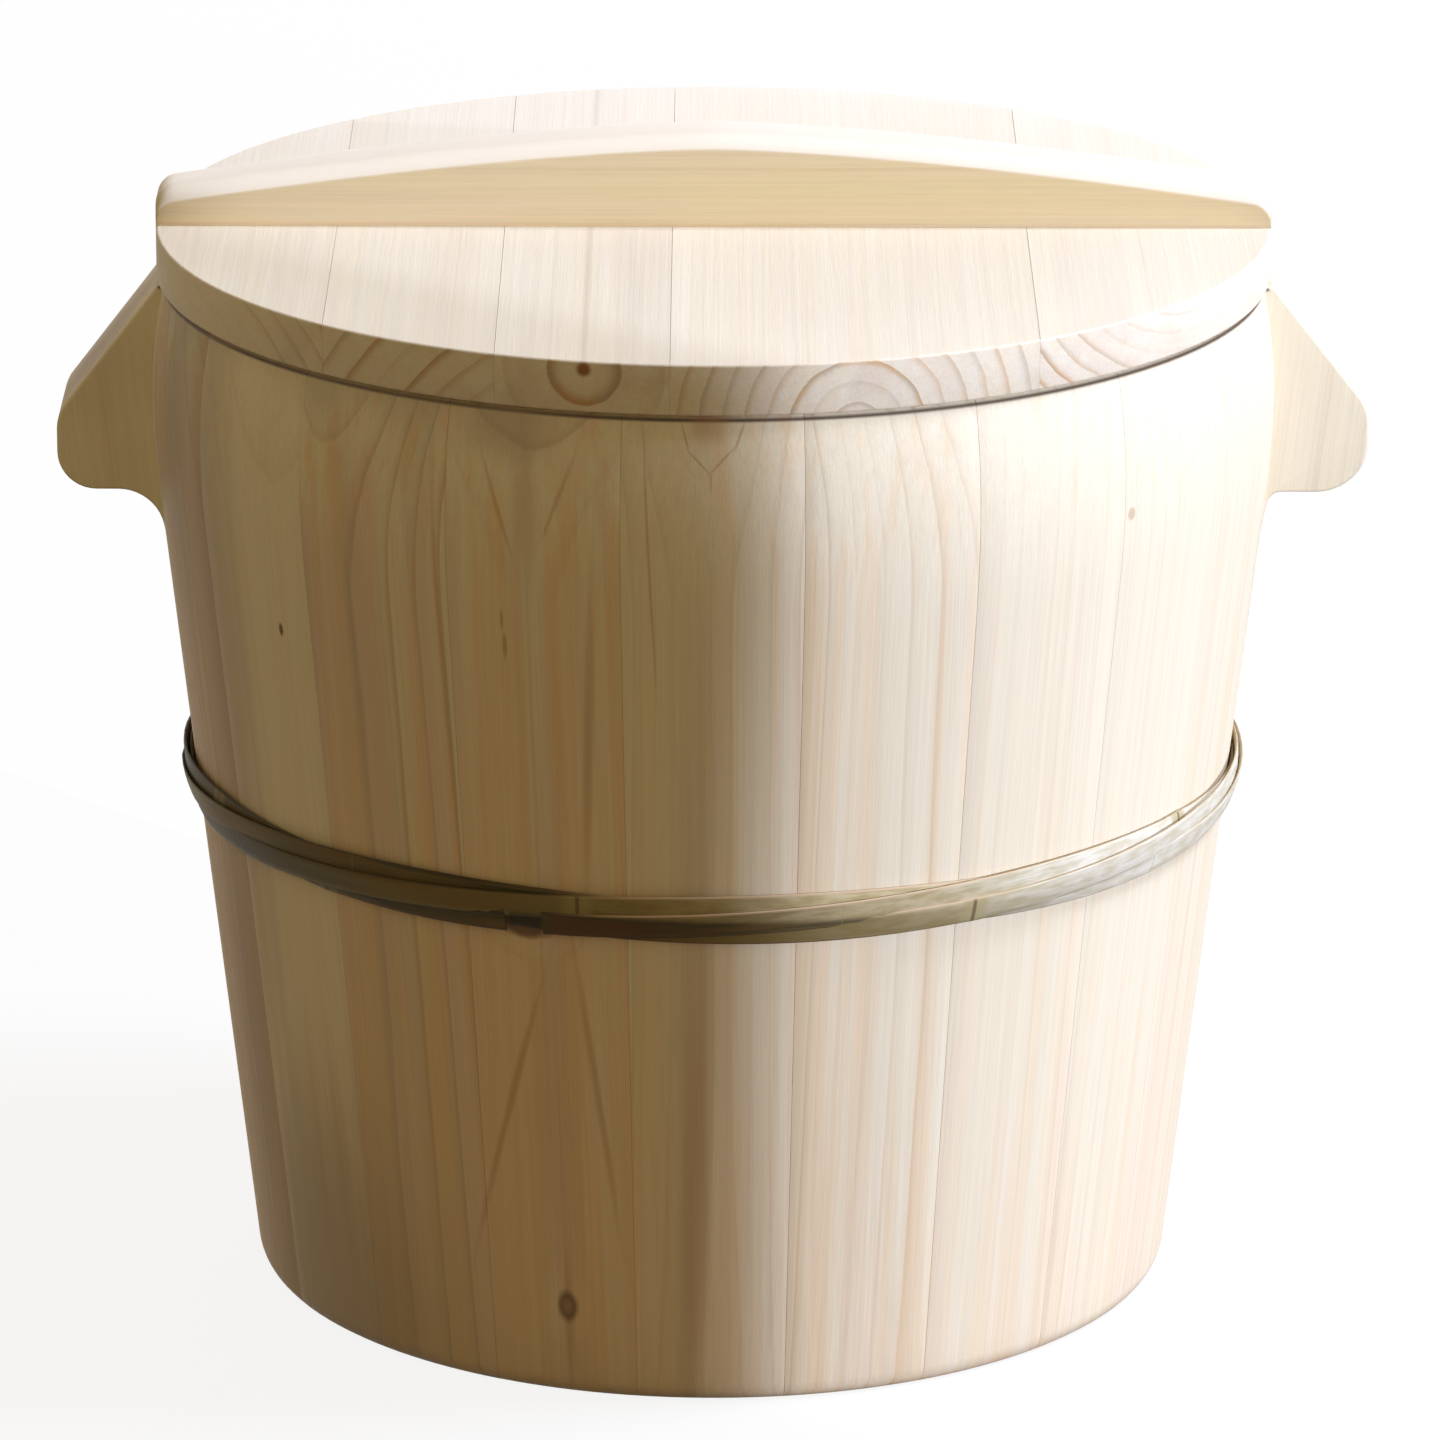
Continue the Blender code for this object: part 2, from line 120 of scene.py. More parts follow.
# %% Wrap a material
class Finish:
    """The nodes of a material, or of the world, which are added one by one."""

    def __init__(self, owner):
        self.owner = owner
        owner.use_nodes = True
        self.tree = owner.node_tree
        self.tree.nodes.clear()

    def add(self, kind, values=(), output=0, **options):
        """Adds a node and gives one of its outputs, by number or name.

        Values are a list for its first sockets, or a dict by socket name or number. A Wire among them
        becomes a link.
        """
        node = self.tree.nodes.new("ShaderNode" + kind)
        for option, setting in options.items():
            setattr(node, option, setting)
        sockets = values.items() if isinstance(values, dict) else enumerate(values)
        for key, value in sockets:
            if isinstance(value, Wire):
                self.tree.links.new(value.socket, node.inputs[key])
            else:
                node.inputs[key].default_value = value
        return Wire(self, node.outputs[output]) if node.outputs else None

    def vector(self, operation, *values, output=0):
        return self.add("VectorMath", values, output, operation=operation)

    def parts(self, vector):
        """The three numbers of a vector."""
        split = self.add("SeparateXYZ", [vector]).socket.node
        return [Wire(self, socket) for socket in split.outputs]

    def coordinates(self, name):
        """Object is the place on the piece, and Normal is the way its surface faces."""
        return self.add("TexCoord", output=name)

    def attribute(self, name):
        """The vector of an attribute and its fourth number."""
        vector = self.add("Attribute", output="Vector", attribute_name=name)
        return vector, Wire(self, vector.socket.node.outputs["Alpha"])

    def step(self, value, low, high):
        """0 below low, 1 above high, and a smooth step between them."""
        values = {"Value": value, "From Min": low, "From Max": high}
        return self.add("MapRange", values, interpolation_type="SMOOTHSTEP")

    def fall(self, value, low, high):
        """1 below low, 0 above high, and a smooth step between them."""
        return 1 - self.step(value, low, high)

    def mix(self, share, first, second):
        """Two colours mixed by a share from 0 to 1."""
        return self.add("Mix", {0: share, 6: first, 7: second}, 2, data_type="RGBA")

    def noise(self, place, seed, detail=2.0, roughness=0.5):
        values = {"Vector": place, "W": seed, "Scale": 1.0, "Detail": detail, "Roughness": roughness}
        return self.add("TexNoise", values, noise_dimensions="4D")

    def surface(self, values, height, distance):
        """The Principled shader and the output, with a bump from a height."""
        bump = self.add("Bump", {"Strength": 1.0, "Distance": distance, "Height": height})
        shader = self.add("BsdfPrincipled", {**values, "Normal": bump})
        self.add("OutputMaterial", {"Surface": shader})


print("materials and the world are wired by one method")

# %% [markdown]
# ## The floor
# The real bucket stands by a window, in front of white. The floor could be lit until it is white, but
# then the wood would be too bright as well. So the camera and the reflections see a nearly white floor,
# while the wood gets the light of a dim, warm one. A share of real shading keeps the bucket's shadow.

# %% Lay the floor
FLOOR_SIZE = 14.0
FLOOR_SHADOW_SHARE = 0.13     # how much of the real lighting shows on the white floor
FLOOR_WHITE = (0.93, 0.93, 0.93, 1)
FLOOR_GLOW = (0.170, 0.115, 0.055, 1)     # the colour in which the floor lights the wood
WHITE = (1, 1, 1, 1)


def seen_directly(finish):
    """1 for rays from the camera, for reflections and for rays through glass, else 0."""
    path = finish.add("LightPath").socket.node
    names = ("Is Camera Ray", "Is Glossy Ray", "Is Transmission Ray")
    camera_ray, glossy, through = [Wire(finish, path.outputs[name]) for name in names]
    return camera_ray.math("MAXIMUM", glossy.math("MAXIMUM", through))


half_floor = FLOOR_SIZE / 2
corners = [(x * half_floor, y * half_floor, 0) for x, y in ((-1, -1), (1, -1), (1, 1), (-1, 1))]
floor_mesh = bpy.data.meshes.new("floor")
floor_mesh.from_pydata(corners, [], [(0, 1, 2, 3)])
floor = bpy.data.objects.new("floor", floor_mesh)
bpy.context.scene.collection.objects.link(floor)

pale = Finish(bpy.data.materials.new("pale_floor"))
dull = pale.add("BsdfDiffuse", {"Color": FLOOR_GLOW})
lit = pale.add("BsdfDiffuse", {"Color": FLOOR_WHITE})
glow = pale.add("Emission", {"Color": WHITE, "Strength": 1.0})
bright = pale.add("MixShader", {0: FLOOR_SHADOW_SHARE, 1: glow, 2: lit})
seen = pale.add("MixShader", {0: seen_directly(pale), 1: dull, 2: bright})
pale.add("OutputMaterial", {"Surface": seen})
floor_mesh.materials.append(pale.owner)
print("floor", FLOOR_SIZE, "m wide")

# %% [markdown]
# ## The room
# The walls of a room send a dim, warm light from all sides. A picture of a room could give it, but the
# wood is matt, so one colour does as well. As with the floor, the camera and the reflections see white
# instead.

# %% Set the room's light
ROOM_LIGHT = (0.380, 0.289, 0.146, 1)

bpy.context.scene.world = bpy.data.worlds.new("room")
sky = Finish(bpy.context.scene.world)
room = sky.add("Background", {"Color": ROOM_LIGHT, "Strength": 1.0})
white = sky.add("Background", {"Color": WHITE, "Strength": 1.0})
sky.add("OutputWorld", {"Surface": sky.add("MixShader", {0: seen_directly(sky), 1: room, 2: white})})
bpy.context.scene.view_settings.view_transform = "Standard"
print("room light", *ROOM_LIGHT[:3])

# %% [markdown]
# ## The windows
# Strong daylight comes from the right and from above, and the left side lies in shade. A picture of a
# room could give that light, but three lamps are simpler: two soft area lamps, and a spot lamp from the
# front right. The left edge of the spot's cone makes the upright line between shade and light on the
# wall.

# %% Hang the lamps
MIDDLE = Vector((0, 0, 0.15))
LIT_FROM = Vector((-0.0065, -0.142, 0.15))      # the light from the front begins here on the wall
DAYLIGHT = (0.905, 0.985, 1.29)


def place_lamp(name, lamp, power, place, aim):
    """Puts a lamp of a power and the colour of daylight at a place, turned along a direction."""
    lamp.energy = power
    lamp.color = DAYLIGHT
    thing = bpy.data.objects.new(name, lamp)
    thing.matrix_world = Matrix.Translation(place) @ aim.to_track_quat("-Z", "Y").to_matrix().to_4x4()
    bpy.context.scene.collection.objects.link(thing)
    print(name, power, "W")


def area_lamp(name, place, size, power):
    """A square lamp that faces the middle of the bucket."""
    lamp = bpy.data.lights.new(name, "AREA")
    lamp.size = size
    place_lamp(name, lamp, power, place, MIDDLE - place)


def spot_lamp(name, place, edge, rise, radius, cone, blend, power):
    """A spot lamp. The left edge of its cone passes through a point; cone and rise are in degrees.

    The cone's middle lies to the right of that point, turned up by the rise, so its edge leans as much.
    """
    lamp = bpy.data.lights.new(name, "SPOT")
    lamp.shadow_soft_size = radius
    lamp.spot_size = math.radians(cone)
    lamp.spot_blend = blend
    way = (edge - place).normalized()
    right = way.cross(Vector((0, 0, 1))).normalized()
    half, rise = math.radians(cone / 2), math.radians(rise)
    sideways = right * math.cos(rise) + right.cross(way) * math.sin(rise)
    place_lamp(name, lamp, power, place, way * math.cos(half) + sideways * math.sin(half))


def seen_from(azimuth, elevation, distance):
    """A place around the middle of the bucket; azimuth 0 is towards +X and 270 towards the camera."""
    turn, rise = math.radians(azimuth), math.radians(elevation)
    way = Vector((math.cos(turn) * math.cos(rise), math.sin(turn) * math.cos(rise), math.sin(rise)))
    return MIDDLE + distance * way


area_lamp("window", seen_from(2, 54, 4.5), size=1.35, power=161.0)
area_lamp("back_window", seen_from(92, 5, 3.0), size=1.4, power=26.0)
spot_lamp("front_window", seen_from(317, 12, 4.0), LIT_FROM, rise=3.5, radius=0.008, cone=80,
          blend=0.0194, power=490.0)

# %% [markdown]
# ## Surfaces from arrays
# Every piece of this bucket is an outline carried along a path: a stave is the wall's section swept
# through 18 degrees, a board is its plan raised through its thickness. So one function makes a closed
# mesh from rings of points held in one numpy array.

# %% Close rings of points into a mesh
def closed_mesh(name, rings):
    """Quads between neighbouring rings, and the first and last ring as end faces.

    The volume is the sum of p0 . (p1 x p2) / 6 over fans of triangles. Below zero, all faces are turned.
    """
    count, size = rings.shape[:2]
    index = np.arange(count * size).reshape(count, size)
    follow = np.roll(index, -1, axis=1)
    quads = np.stack([index[:-1], follow[:-1], follow[1:], index[1:]], axis=-1).reshape(-1, 4)
    points = rings.reshape(-1, 3)
    corner = points[quads]
    fans = [(corner[:, 0], corner[:, 1], corner[:, 2]), (corner[:, 0], corner[:, 2], corner[:, 3])]
    for cap in (index[0, ::-1], index[-1]):
        fans.append((points[cap[:1]].repeat(size - 2, axis=0), points[cap[1:-1]], points[cap[2:]]))
    volume = sum((a * np.cross(b, c)).sum() for a, b, c in fans) / 6
    faces = quads.tolist() + [index[0, ::-1].tolist(), index[-1].tolist()]
    if volume < 0:
        faces = [face[::-1] for face in faces]
    mesh = bpy.data.meshes.new(name)
    mesh.from_pydata(points.tolist(), [], faces)
    return mesh


print("rings of points become closed meshes")

# %% [markdown]
# ## From a mesh to a piece
# A piece is smooth over its curves and sharp at its edges, so edges past an angle are marked. What
# joins or cuts it, such as an ear or a groove, is a Boolean that is worked out at once, which leaves a
# plain mesh. Each finished piece says which body it rides on and which solid it stands for.

# %% Make, carve and dress a piece
CREASE = math.radians(28)
CUT_CREASE = math.radians(20)


def new_piece(name, mesh, crease=CREASE):
    """An object at the origin that shows a mesh, smooth except at its creases."""
    mesh.shade_smooth()
    mesh.set_sharp_from_angle(angle=crease)
    piece = bpy.data.objects.new(name, mesh)
    bpy.context.scene.collection.objects.link(piece)
    return piece


def carve(piece, tool_mesh, operation):
    """Cuts a closed mesh out of a piece, or joins it on, and keeps the result as the piece's mesh."""
    tool = bpy.data.objects.new("tool", tool_mesh)
    bpy.context.scene.collection.objects.link(tool)
    step = piece.modifiers.new("cut", "BOOLEAN")
    step.operation = operation
    step.object = tool
    bpy.context.view_layer.update()
    made = bpy.data.meshes.new_from_object(piece.evaluated_get(bpy.context.evaluated_depsgraph_get()))
    piece.modifiers.clear()
    piece.data = made
    bpy.data.objects.remove(tool)
    made.shade_smooth()
    made.set_sharp_from_angle(angle=CUT_CREASE)


def dress(piece, finish, node, body):
    """Puts a finish on a piece, which rides on a body and stands for a solid of the frame."""
    piece.data.materials.clear()
    piece.data.materials.append(finish.owner)
    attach(piece, body)
    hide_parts(node)


print("creases in degrees:", *[round(math.degrees(angle)) for angle in (CREASE, CUT_CREASE)])

# %% [markdown]
# ## Outlines and eased edges
# Planed edges are never dead sharp. An outline's corners become arcs, and the first and last rings of a
# piece shrink along a quarter circle, which eases the edge without a modifier.

# %% Round, inset and ease outlines
def rounded(corners, steps):
    """A closed outline from corners (x, y, radius). Each becomes an arc that touches both its sides."""
    spots = np.array([corner[:2] for corner in corners])
    outline = []
    for spot, before, after, corner in zip(spots, np.roll(spots, 1, 0), np.roll(spots, -1, 0), corners):
        if corner[2] == 0:
            outline.append(spot[None])
            continue
        back, ahead = before - spot, after - spot
        back, ahead = back / np.linalg.norm(back), ahead / np.linalg.norm(ahead)
        half = math.acos(float(back @ ahead)) / 2
        way = (back + ahead) / np.linalg.norm(back + ahead)
        middle = spot + way * corner[2] / math.sin(half)
        start = spot + back * corner[2] / math.tan(half) - middle
        stop = spot + ahead * corner[2] / math.tan(half) - middle
        swing = math.pi - 2 * half
        turn = np.linspace(0, swing, steps + 1)[:, None]
        outline.append(middle + (start * np.sin(swing - turn) + stop * np.sin(turn)) / math.sin(swing))
    return np.concatenate(outline)


def inset(outline, depth):
    """A closed outline moved inwards: each point goes along the mean normal of its two sides."""
    ahead = np.roll(outline, -1, 0) - outline
    ahead /= np.linalg.norm(ahead, axis=1, keepdims=True)
    normal = np.stack([-ahead[:, 1], ahead[:, 0]], axis=1)
    mean = normal + np.roll(normal, 1, 0)
    mean /= (mean * mean).sum(1, keepdims=True) / 2
    after = np.roll(outline, -1, 0)
    turning = math.copysign(1.0, float((outline[:, 0] * after[:, 1] - after[:, 0] * outline[:, 1]).sum()))
    return outline + turning * depth * mean


def eased(edge, steps):
    """Stations of a quarter round: edge * (1 - cos t) from the end face, edge * (1 - sin t) inwards."""
    turn = np.linspace(0, math.pi / 2, steps + 1)
    return edge * (1 - np.cos(turn)), edge * (1 - np.sin(turn))


SQUARE = [(0, 0, 1), (9, 0, 1), (9, 9, 1), (0, 9, 1)]
print("outline of a rounded square:", len(rounded(SQUARE, 4)), "points")

# %% [markdown]
# ## Growth rings
# The figure on a board is a cut through the rings of a tree, so the rings are worked out in space and
# not painted on. Each piece gets an attribute that says where every point of it lay in the trunk: how
# far across and how deep from the pith, and how far along the stem. On flat faces that shows as
# straight lines, and on the lid's edge as circles. Under the rim, where the wall curves in, it shows as
# pointed arches.

# %% Mark each piece with its place in the trunk
def mark_grain(piece, axes, origin, pith, spacing, tone, warmth, seed, bow=(0.0, 0.0), middle=0.0):
    """Writes the attributes grain and board.

    Grain is (point - origin) on the three axes in millimetres, shifted by the pith: across, depth, along.
    Away from the middle height the depth falls by bow * (distance / 0.1 m) ** 2, as in a bowed stem.
    Board holds the ring spacing in centimetres, the tone, the warmth, and a seed. The seed's fraction
    shifts the rings, and its whole part draws their strengths.
    """
    mesh = piece.data
    count = len(mesh.vertices)
    points = np.empty(count * 3, np.float32)
    mesh.vertices.foreach_get("co", points)
    place = (points.reshape(-1, 3) - np.array(origin)) @ np.array(axes).T
    away = (place[:, 2] - middle) / 0.1
    place = place * 1000
    place[:, 0] -= pith[0]
    place[:, 1] += pith[1] - np.where(away < 0, bow[0], bow[1]) * away ** 2
    grain = mesh.attributes.new("grain", "FLOAT_VECTOR", "POINT")
    grain.data.foreach_set("vector", place.astype(np.float32).ravel())
    board = mesh.attributes.new("board", "FLOAT_COLOR", "POINT")
    row = np.array([spacing / 10, tone, warmth, seed], np.float32)
    board.data.foreach_set("color", np.tile(row, count))


print("a piece is marked with millimetres across, deep and along")

# %% [markdown]
# ## The colours and noises of fir
# Fir has pale early wood and a thin dark line of late wood at the end of each year, with long streaks
# and short fibres over it. A photograph of wood would show that on one face only. Noises that are
# stretched along the stem go right through a board, so its faces agree at every edge.

# %% Name the colours and the noises
PITH = (0.300, 0.130, 0.040, 1)
LATE_ORANGE = (0.540, 0.320, 0.130, 1)
LATE_GREY = (0.430, 0.340, 0.225, 1)
DULL_WOOD = (0.610, 0.520, 0.420, 1)
# painted shade in the groove under the lid's rim
RIM_GROOVE_SHADE = (0.070, 0.040, 0.020, 1)
ORANGE_MARK = (0.430, 0.215, 0.085, 1)
DARK_MARK = (0.150, 0.085, 0.035, 1)
# shade marks: painted shade in some places, wood that has greyed in others
SHADE_AND_GREY_MARK = (0.420, 0.325, 0.230, 1)
MARK_COLOURS = {
    "shade": SHADE_AND_GREY_MARK,
    "streak": ORANGE_MARK,
    "fleck": ORANGE_MARK,
    "knot": DARK_MARK,
    "pin": DARK_MARK,
}
# Length across and along the stem in mm, shift of the seed, detail, roughness
WOOD_NOISES = {
    "sway": (30, 190, 0.0, 1.0, 0.5),
    "waver": (5, 70, 0.0, 2.0, 0.5),
    "zone": (9, 520, 3.3, 2.0, 0.6),
    "gold": (5, 400, 5.1, 2.0, 0.6),
    "narrow": (1.7, 260, 7.7, 2.0, 0.6),
    "fine": (0.7, 120, 8.8, 1.0, 0.6),
    "fibre": (0.32, 16, 0.0, 2.0, 0.55),
    "hue": (12, 150, 1.2, 1.0, 0.5),
    "dull": (12, 300, 9.9, 1.0, 0.5),
}
print("kinds of marks:", *MARK_COLOURS)

# %% [markdown]
# ## Marks on the wall
# Knots, flecks, streaks and darker places lie where the real bucket has them, and some darker places are
# painted shade. A painted image could hold them, but each is close to an ellipse on the unrolled wall, so
# a distance in the shader is enough. A knot also pushes the rings around it outwards, as the real branch
# did.

# %% Place marks
MARK_EDGE = 1.25              # a mark has faded out here, where 1 is the edge of its ellipse
MARK_CORES = {"shade": 0.2, "streak": 0.2, "fleck": 0.6, "knot": 0.6, "pin": 0.6}
MARK_WAVER = 0.5


def wall_distance(wood, azimuth, height, half_width, half_length, lean):
    """Distance from a mark on the wall, where 1 is the edge of its ellipse.

    The place across is the angle from the front times the wall's radius there. Azimuth is in degrees,
    lean in degrees per 100 mm of height, and the rest in millimetres.
    """
    x, y, z = wood.parts(wood.coordinates("Object"))
    radius = float(outer_radius(height / 1000)) * 1000
    up = z * (1000 / half_length) - height / half_length
    front = x.math("ARCTAN2", y * -1)
    across = front * (radius / half_width) - math.radians(azimuth - 270) * radius / half_width
    across = across - up * (math.radians(lean * half_length / 100) * radius / half_width)
    return (across * across + up * up).math("SQRT")


def marked(wood, marks, waver, radius):
    """The share of each kind of mark, and the distance from the pith, which is less near a knot."""
    shares = dict.fromkeys(MARK_COLOURS)
    for kind, azimuth, height, half_width, half_length, lean, strength in marks:
        distance = wall_distance(wood, azimuth, height, half_width, half_length, lean)
        distance = distance + (waver - 0.5) * MARK_WAVER
        mark = wood.fall(distance, MARK_CORES[kind], MARK_EDGE) * strength
        if kind == "knot":
            mark = mark - wood.fall(distance, 0.1, 0.7) * strength * 0.3
        if kind in ("knot", "pin"):
            radius = radius - wood.fall(distance, 0.5, 3.0) * (half_width * 0.9)
        before = shares[kind]
        shares[kind] = mark if before is None else mark.math("MAXIMUM", before)
    return shares, radius


print("marks fade out at", MARK_EDGE, "of their size")

# %% [markdown]
# ## The lines of the years
# The shader turns the distance from the pith into a ring number. The number's fraction becomes a slow
# darkening that stops abruptly. Some years are faint and some are strong, so each year draws its own
# strength and tint from white noise. Only whole numbers go into that noise, which keeps the draw the
# same all over a board.

# %% Draw the year rings
YEAR_STRENGTH = (0.2, 0.8)    # the least, and what a draw adds


def year_rings(wood, radius, spacing, seed, end):
    """The darkness of the late wood, and the tint of each year.

    ring = radius / spacing + fraction of the seed. Its whole part is the year, and its fraction the share
    of it. darkness = (ramp ** 2 + line) / 2 * strength, where the line is wider on end grain.
    """
    ring = radius / (spacing * 10) + seed.math("FRACT")
    year = ring.math("FLOOR")
    number = seed.math("FLOOR")
    share = ring - year

    def drawn(ring_year, salt):
        return wood.add("TexWhiteNoise", [wood.add("CombineXYZ", [ring_year, number, salt])])

    ramp = wood.step(share, 0.35, 0.95) * wood.fall(share, 0.95, 1.0)
    line = wood.step(share, 0.80 - end * 0.14, 0.93) * wood.fall(share, 0.955, 1.0)
    strength = drawn(year, 0.0) * YEAR_STRENGTH[1] + YEAR_STRENGTH[0]
    tint = drawn(year, 1.0)
    tint = tint + (drawn(year + 1, 1.0) - tint) * wood.step(share, 0.3, 1.0)
    return (ramp * ramp * 0.5 + line * 0.5) * strength, tint


print("a year's line is drawn at strength", YEAR_STRENGTH[0], "to", sum(YEAR_STRENGTH))

# %% [markdown]
# ## The finish of planed fir
# The wood's colour is built up in layers: pale wood, warm and golden zones, dull places, the lines of
# the years, thin streaks and the pith. A slow and a fine grain then scale its brightness. The same
# shader serves the wall, the lid, the handle and the grate, with their own colours and contrast.

# %% Mix the fir finish
SWAY = 1.8                    # how far the rings sway and waver, in mm
WAVER = 1.1
STAVE_MIDDLE = 142            # height in mm at which warm_foot adds nothing
STAVE_LENGTH = 285
WALL_REACH = (0.1495, 0.1505)     # the ears lie past this distance from the axis
# upward faces between these slopes get a painted light colour
TOP_LIGHT_SLOPE = (0.10, 0.26)


def fir(name, pale_wood, warm_wood, gold_wood, end_axis, roughness=0.62, marks=(), contrast=0.5,
        end_contrast=0.6, painted_rim_shade=None, painted_top_light=None, warm_foot=0.0):
    """Planed fir. End_axis is the axis that its end grain faces: 0, 1 or 2.

    Painted shade under the lid's rim darkens the wall from the first of its two heights, and fully past
    the second.
    The top colour is painted light on upward faces. Warm_foot is how much more warm wood a board has at
    its start.
    """
    wood = Finish(bpy.data.materials.new(name))
    grain = wood.attribute("grain")[0]
    board, seed = wood.attribute("board")
    spacing, tone, warmth = wood.parts(board)
    noise = {}
    for kind, (across, along, shift, detail, rough) in WOOD_NOISES.items():
        place = wood.vector("MULTIPLY", grain, (1 / across, 1 / across, 1 / along))
        noise[kind] = wood.noise(place, seed + shift, detail, rough)
    narrow, fine, fibre = noise["narrow"], noise["fine"], noise["fibre"]

    # How far from the pith, and how far along the year, this point lies
    pith_distance = wood.vector("LENGTH", wood.vector("MULTIPLY", grain, (1, 1, 0)), output=1)
    radius = pith_distance + (noise["sway"] - 0.5) * SWAY + (noise["waver"] - 0.5) * WAVER
    shares, radius = marked(wood, marks, noise["waver"], radius)
    facing = wood.parts(wood.coordinates("Normal"))
    end = wood.step(facing[end_axis].math("ABSOLUTE"), 0.35, 0.9)
    lines, tint = year_rings(wood, radius, spacing, seed, end)

    # The brightest boards show their figure less
    calm = 1 - wood.step(tone, 0.98, 1.04) * (1 - end) * 0.6
    lines = lines * calm

    # Warm and golden zones, dull places, late wood, streaks and pith, then the grain's light and dark
    if warm_foot:
        warmth = warmth + (STAVE_MIDDLE - wood.parts(grain)[2]) * (warm_foot / STAVE_LENGTH)
    warm = wood.step(noise["zone"] + warmth + (tint - 0.5) * 0.4, 0.36, 0.66)
    gold = wood.step(noise["gold"] + warmth * 0.4 + (0.5 - tint) * 0.2, 0.44, 0.68)
    colour = wood.mix(warm * calm, pale_wood, warm_wood)
    colour = wood.mix(gold * calm * 0.85, colour, gold_wood)
    colour = wood.mix(wood.step(noise["dull"], 0.52, 0.72) * calm * 0.38, colour, DULL_WOOD)
    late = wood.mix(wood.step(noise["hue"], 0.40, 0.62), LATE_ORANGE, LATE_GREY)
    colour = wood.mix(lines * (end * (end_contrast - contrast) + contrast), colour, late)
    streaks = wood.step(narrow, 0.56, 0.80) * (1 - end) * calm
    colour = wood.mix(streaks * (0.68 * contrast), colour, late)
    colour = wood.mix(wood.fall(pith_distance, 1.0, 2.6), colour, PITH)
    light = tone + (fibre - 0.5) * 0.15 + (fine - 0.5) * 0.16 + (narrow - 0.5) * 0.14 - end * 0.10
    colour = wood.add("VectorMath", {0: colour, "Scale": light}, operation="SCALE")

    # What lies over the wood: painted shade under the rim, painted light on upward faces, and the marks,
    # some of which are painted shade
    if painted_rim_shade is not None:
        here = wood.coordinates("Object")
        reach = wood.vector("LENGTH", wood.vector("MULTIPLY", here, (1, 1, 0)), output=1)
        dark = wood.step(wood.parts(here)[2], *painted_rim_shade) * (1 - end) * wood.fall(reach, *WALL_REACH)
        colour = wood.mix(dark * 0.95, colour, RIM_GROOVE_SHADE)
    if painted_top_light is not None:
        colour = wood.mix(wood.step(facing[2], *TOP_LIGHT_SLOPE), colour, painted_top_light)
    for kind, share in shares.items():
        if share is not None:
            colour = wood.mix(share, colour, MARK_COLOURS[kind])

    rough = (fibre - 0.5) * 0.25 - lines * 0.08 + roughness
    height = fibre * 0.45 + fine * 0.3 + lines * 0.5
    wood.surface({"Base Color": colour, "Roughness": rough, "Specular IOR Level": 0.18}, height, 0.0001)
    print(name, len(wood.tree.nodes), "nodes")
    return wood


print("noises in the wood:", len(WOOD_NOISES))

# %% [markdown]
# ## The staves
# A stave is a thin wedge of a cone. Its section runs up the outside of the wall, over the rim, down the
# inside to the ledge that carries the grate, and back to the foot. Turning it all round would give one
# closed ring, so it is swept through 18 degrees for each stave instead, and the joints between them
# stay real.

# %% Work out the wall's section
BODY_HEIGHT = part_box("stave_15")[1].z
FOOT_RADIUS = 0.1253          # outside of the cone, carried down to the floor
FLARE = 0.1134                # growth of the radius for each metre of height
WALL_THICKNESS = 0.0175
FOOT_ROUND = (0.003, 0.005)   # depth and height of the rounded lower edge
SHOULDER_HEIGHT = 0.060
SHOULDER_INSET = 0.0084
SHOULDER_POWER = 2.5
RIM_ROUND = 0.0017
LEDGE_HEIGHT = 0.030
LEDGE_WIDTH = 0.007
HEIGHT_STEP = 0.007
INNER_ROUND = 0.0012          # bevel inside the rim
LEDGE_ROUND = 0.0008
FOOT_LAND = 0.002             # flat kept beside the ledge's lower corner


def cone_radius(height):
    return FOOT_RADIUS + FLARE * np.asarray(height, float)


def outer_radius(height):
    """The cone, less inset * share ** 2.5 under the rim, less a quarter ellipse at the foot."""
    height = np.asarray(height, float)
    shoulder = np.clip((height - BODY_HEIGHT + SHOULDER_HEIGHT) / SHOULDER_HEIGHT, 0, None)
    foot = np.clip(1 - height / FOOT_ROUND[1], 0, 1)
    round_off = FOOT_ROUND[0] * (1 - np.sqrt(1 - foot ** 2))
    return cone_radius(height) - SHOULDER_INSET * shoulder ** SHOULDER_POWER - round_off


def wall_section():
    """Points (radius, height) up the outside, over the rim, down the inside to the ledge and the foot."""
    rim = BODY_HEIGHT
    foot = FOOT_ROUND[1] * (1 - np.cos(np.linspace(0, math.pi / 2, 7)))
    straight = np.arange(FOOT_ROUND[1] + HEIGHT_STEP, rim - SHOULDER_HEIGHT, HEIGHT_STEP)
    shoulder = np.linspace(rim - SHOULDER_HEIGHT, rim - RIM_ROUND, 22)
    height = np.concatenate([foot, straight, shoulder])
    outside = np.stack([outer_radius(height), height], axis=1)
    turn = np.linspace(0.3, math.pi / 2, 4)
    centre = np.array([float(outer_radius(rim - RIM_ROUND)), rim]) - RIM_ROUND
    over_rim = centre + RIM_ROUND * np.stack([np.cos(turn), np.sin(turn)], axis=1)
    upper, lower = [float(cone_radius(z)) - WALL_THICKNESS for z in (rim, LEDGE_HEIGHT)]
    inner_rim = np.array([(upper + INNER_ROUND, rim), (upper, rim - INNER_ROUND)])
    down = np.linspace(0.98, 0.02, 30)[:, None]
    inside = np.array([[lower, LEDGE_HEIGHT]]) + down * np.array([[upper - lower, rim - LEDGE_HEIGHT]])
    ledge = lower - LEDGE_WIDTH
    step = rounded([(lower, LEDGE_HEIGHT, 0), (ledge, LEDGE_HEIGHT, LEDGE_ROUND), (ledge, 0, LEDGE_ROUND),
                    (ledge + FOOT_LAND, 0, 0)], 3)[:-1]
    return np.concatenate([outside, over_rim, inner_rim, inside, step])


section = wall_section()
print("wall section:", len(section), "points, rim radius", round(float(outer_radius(BODY_HEIGHT)), 4))

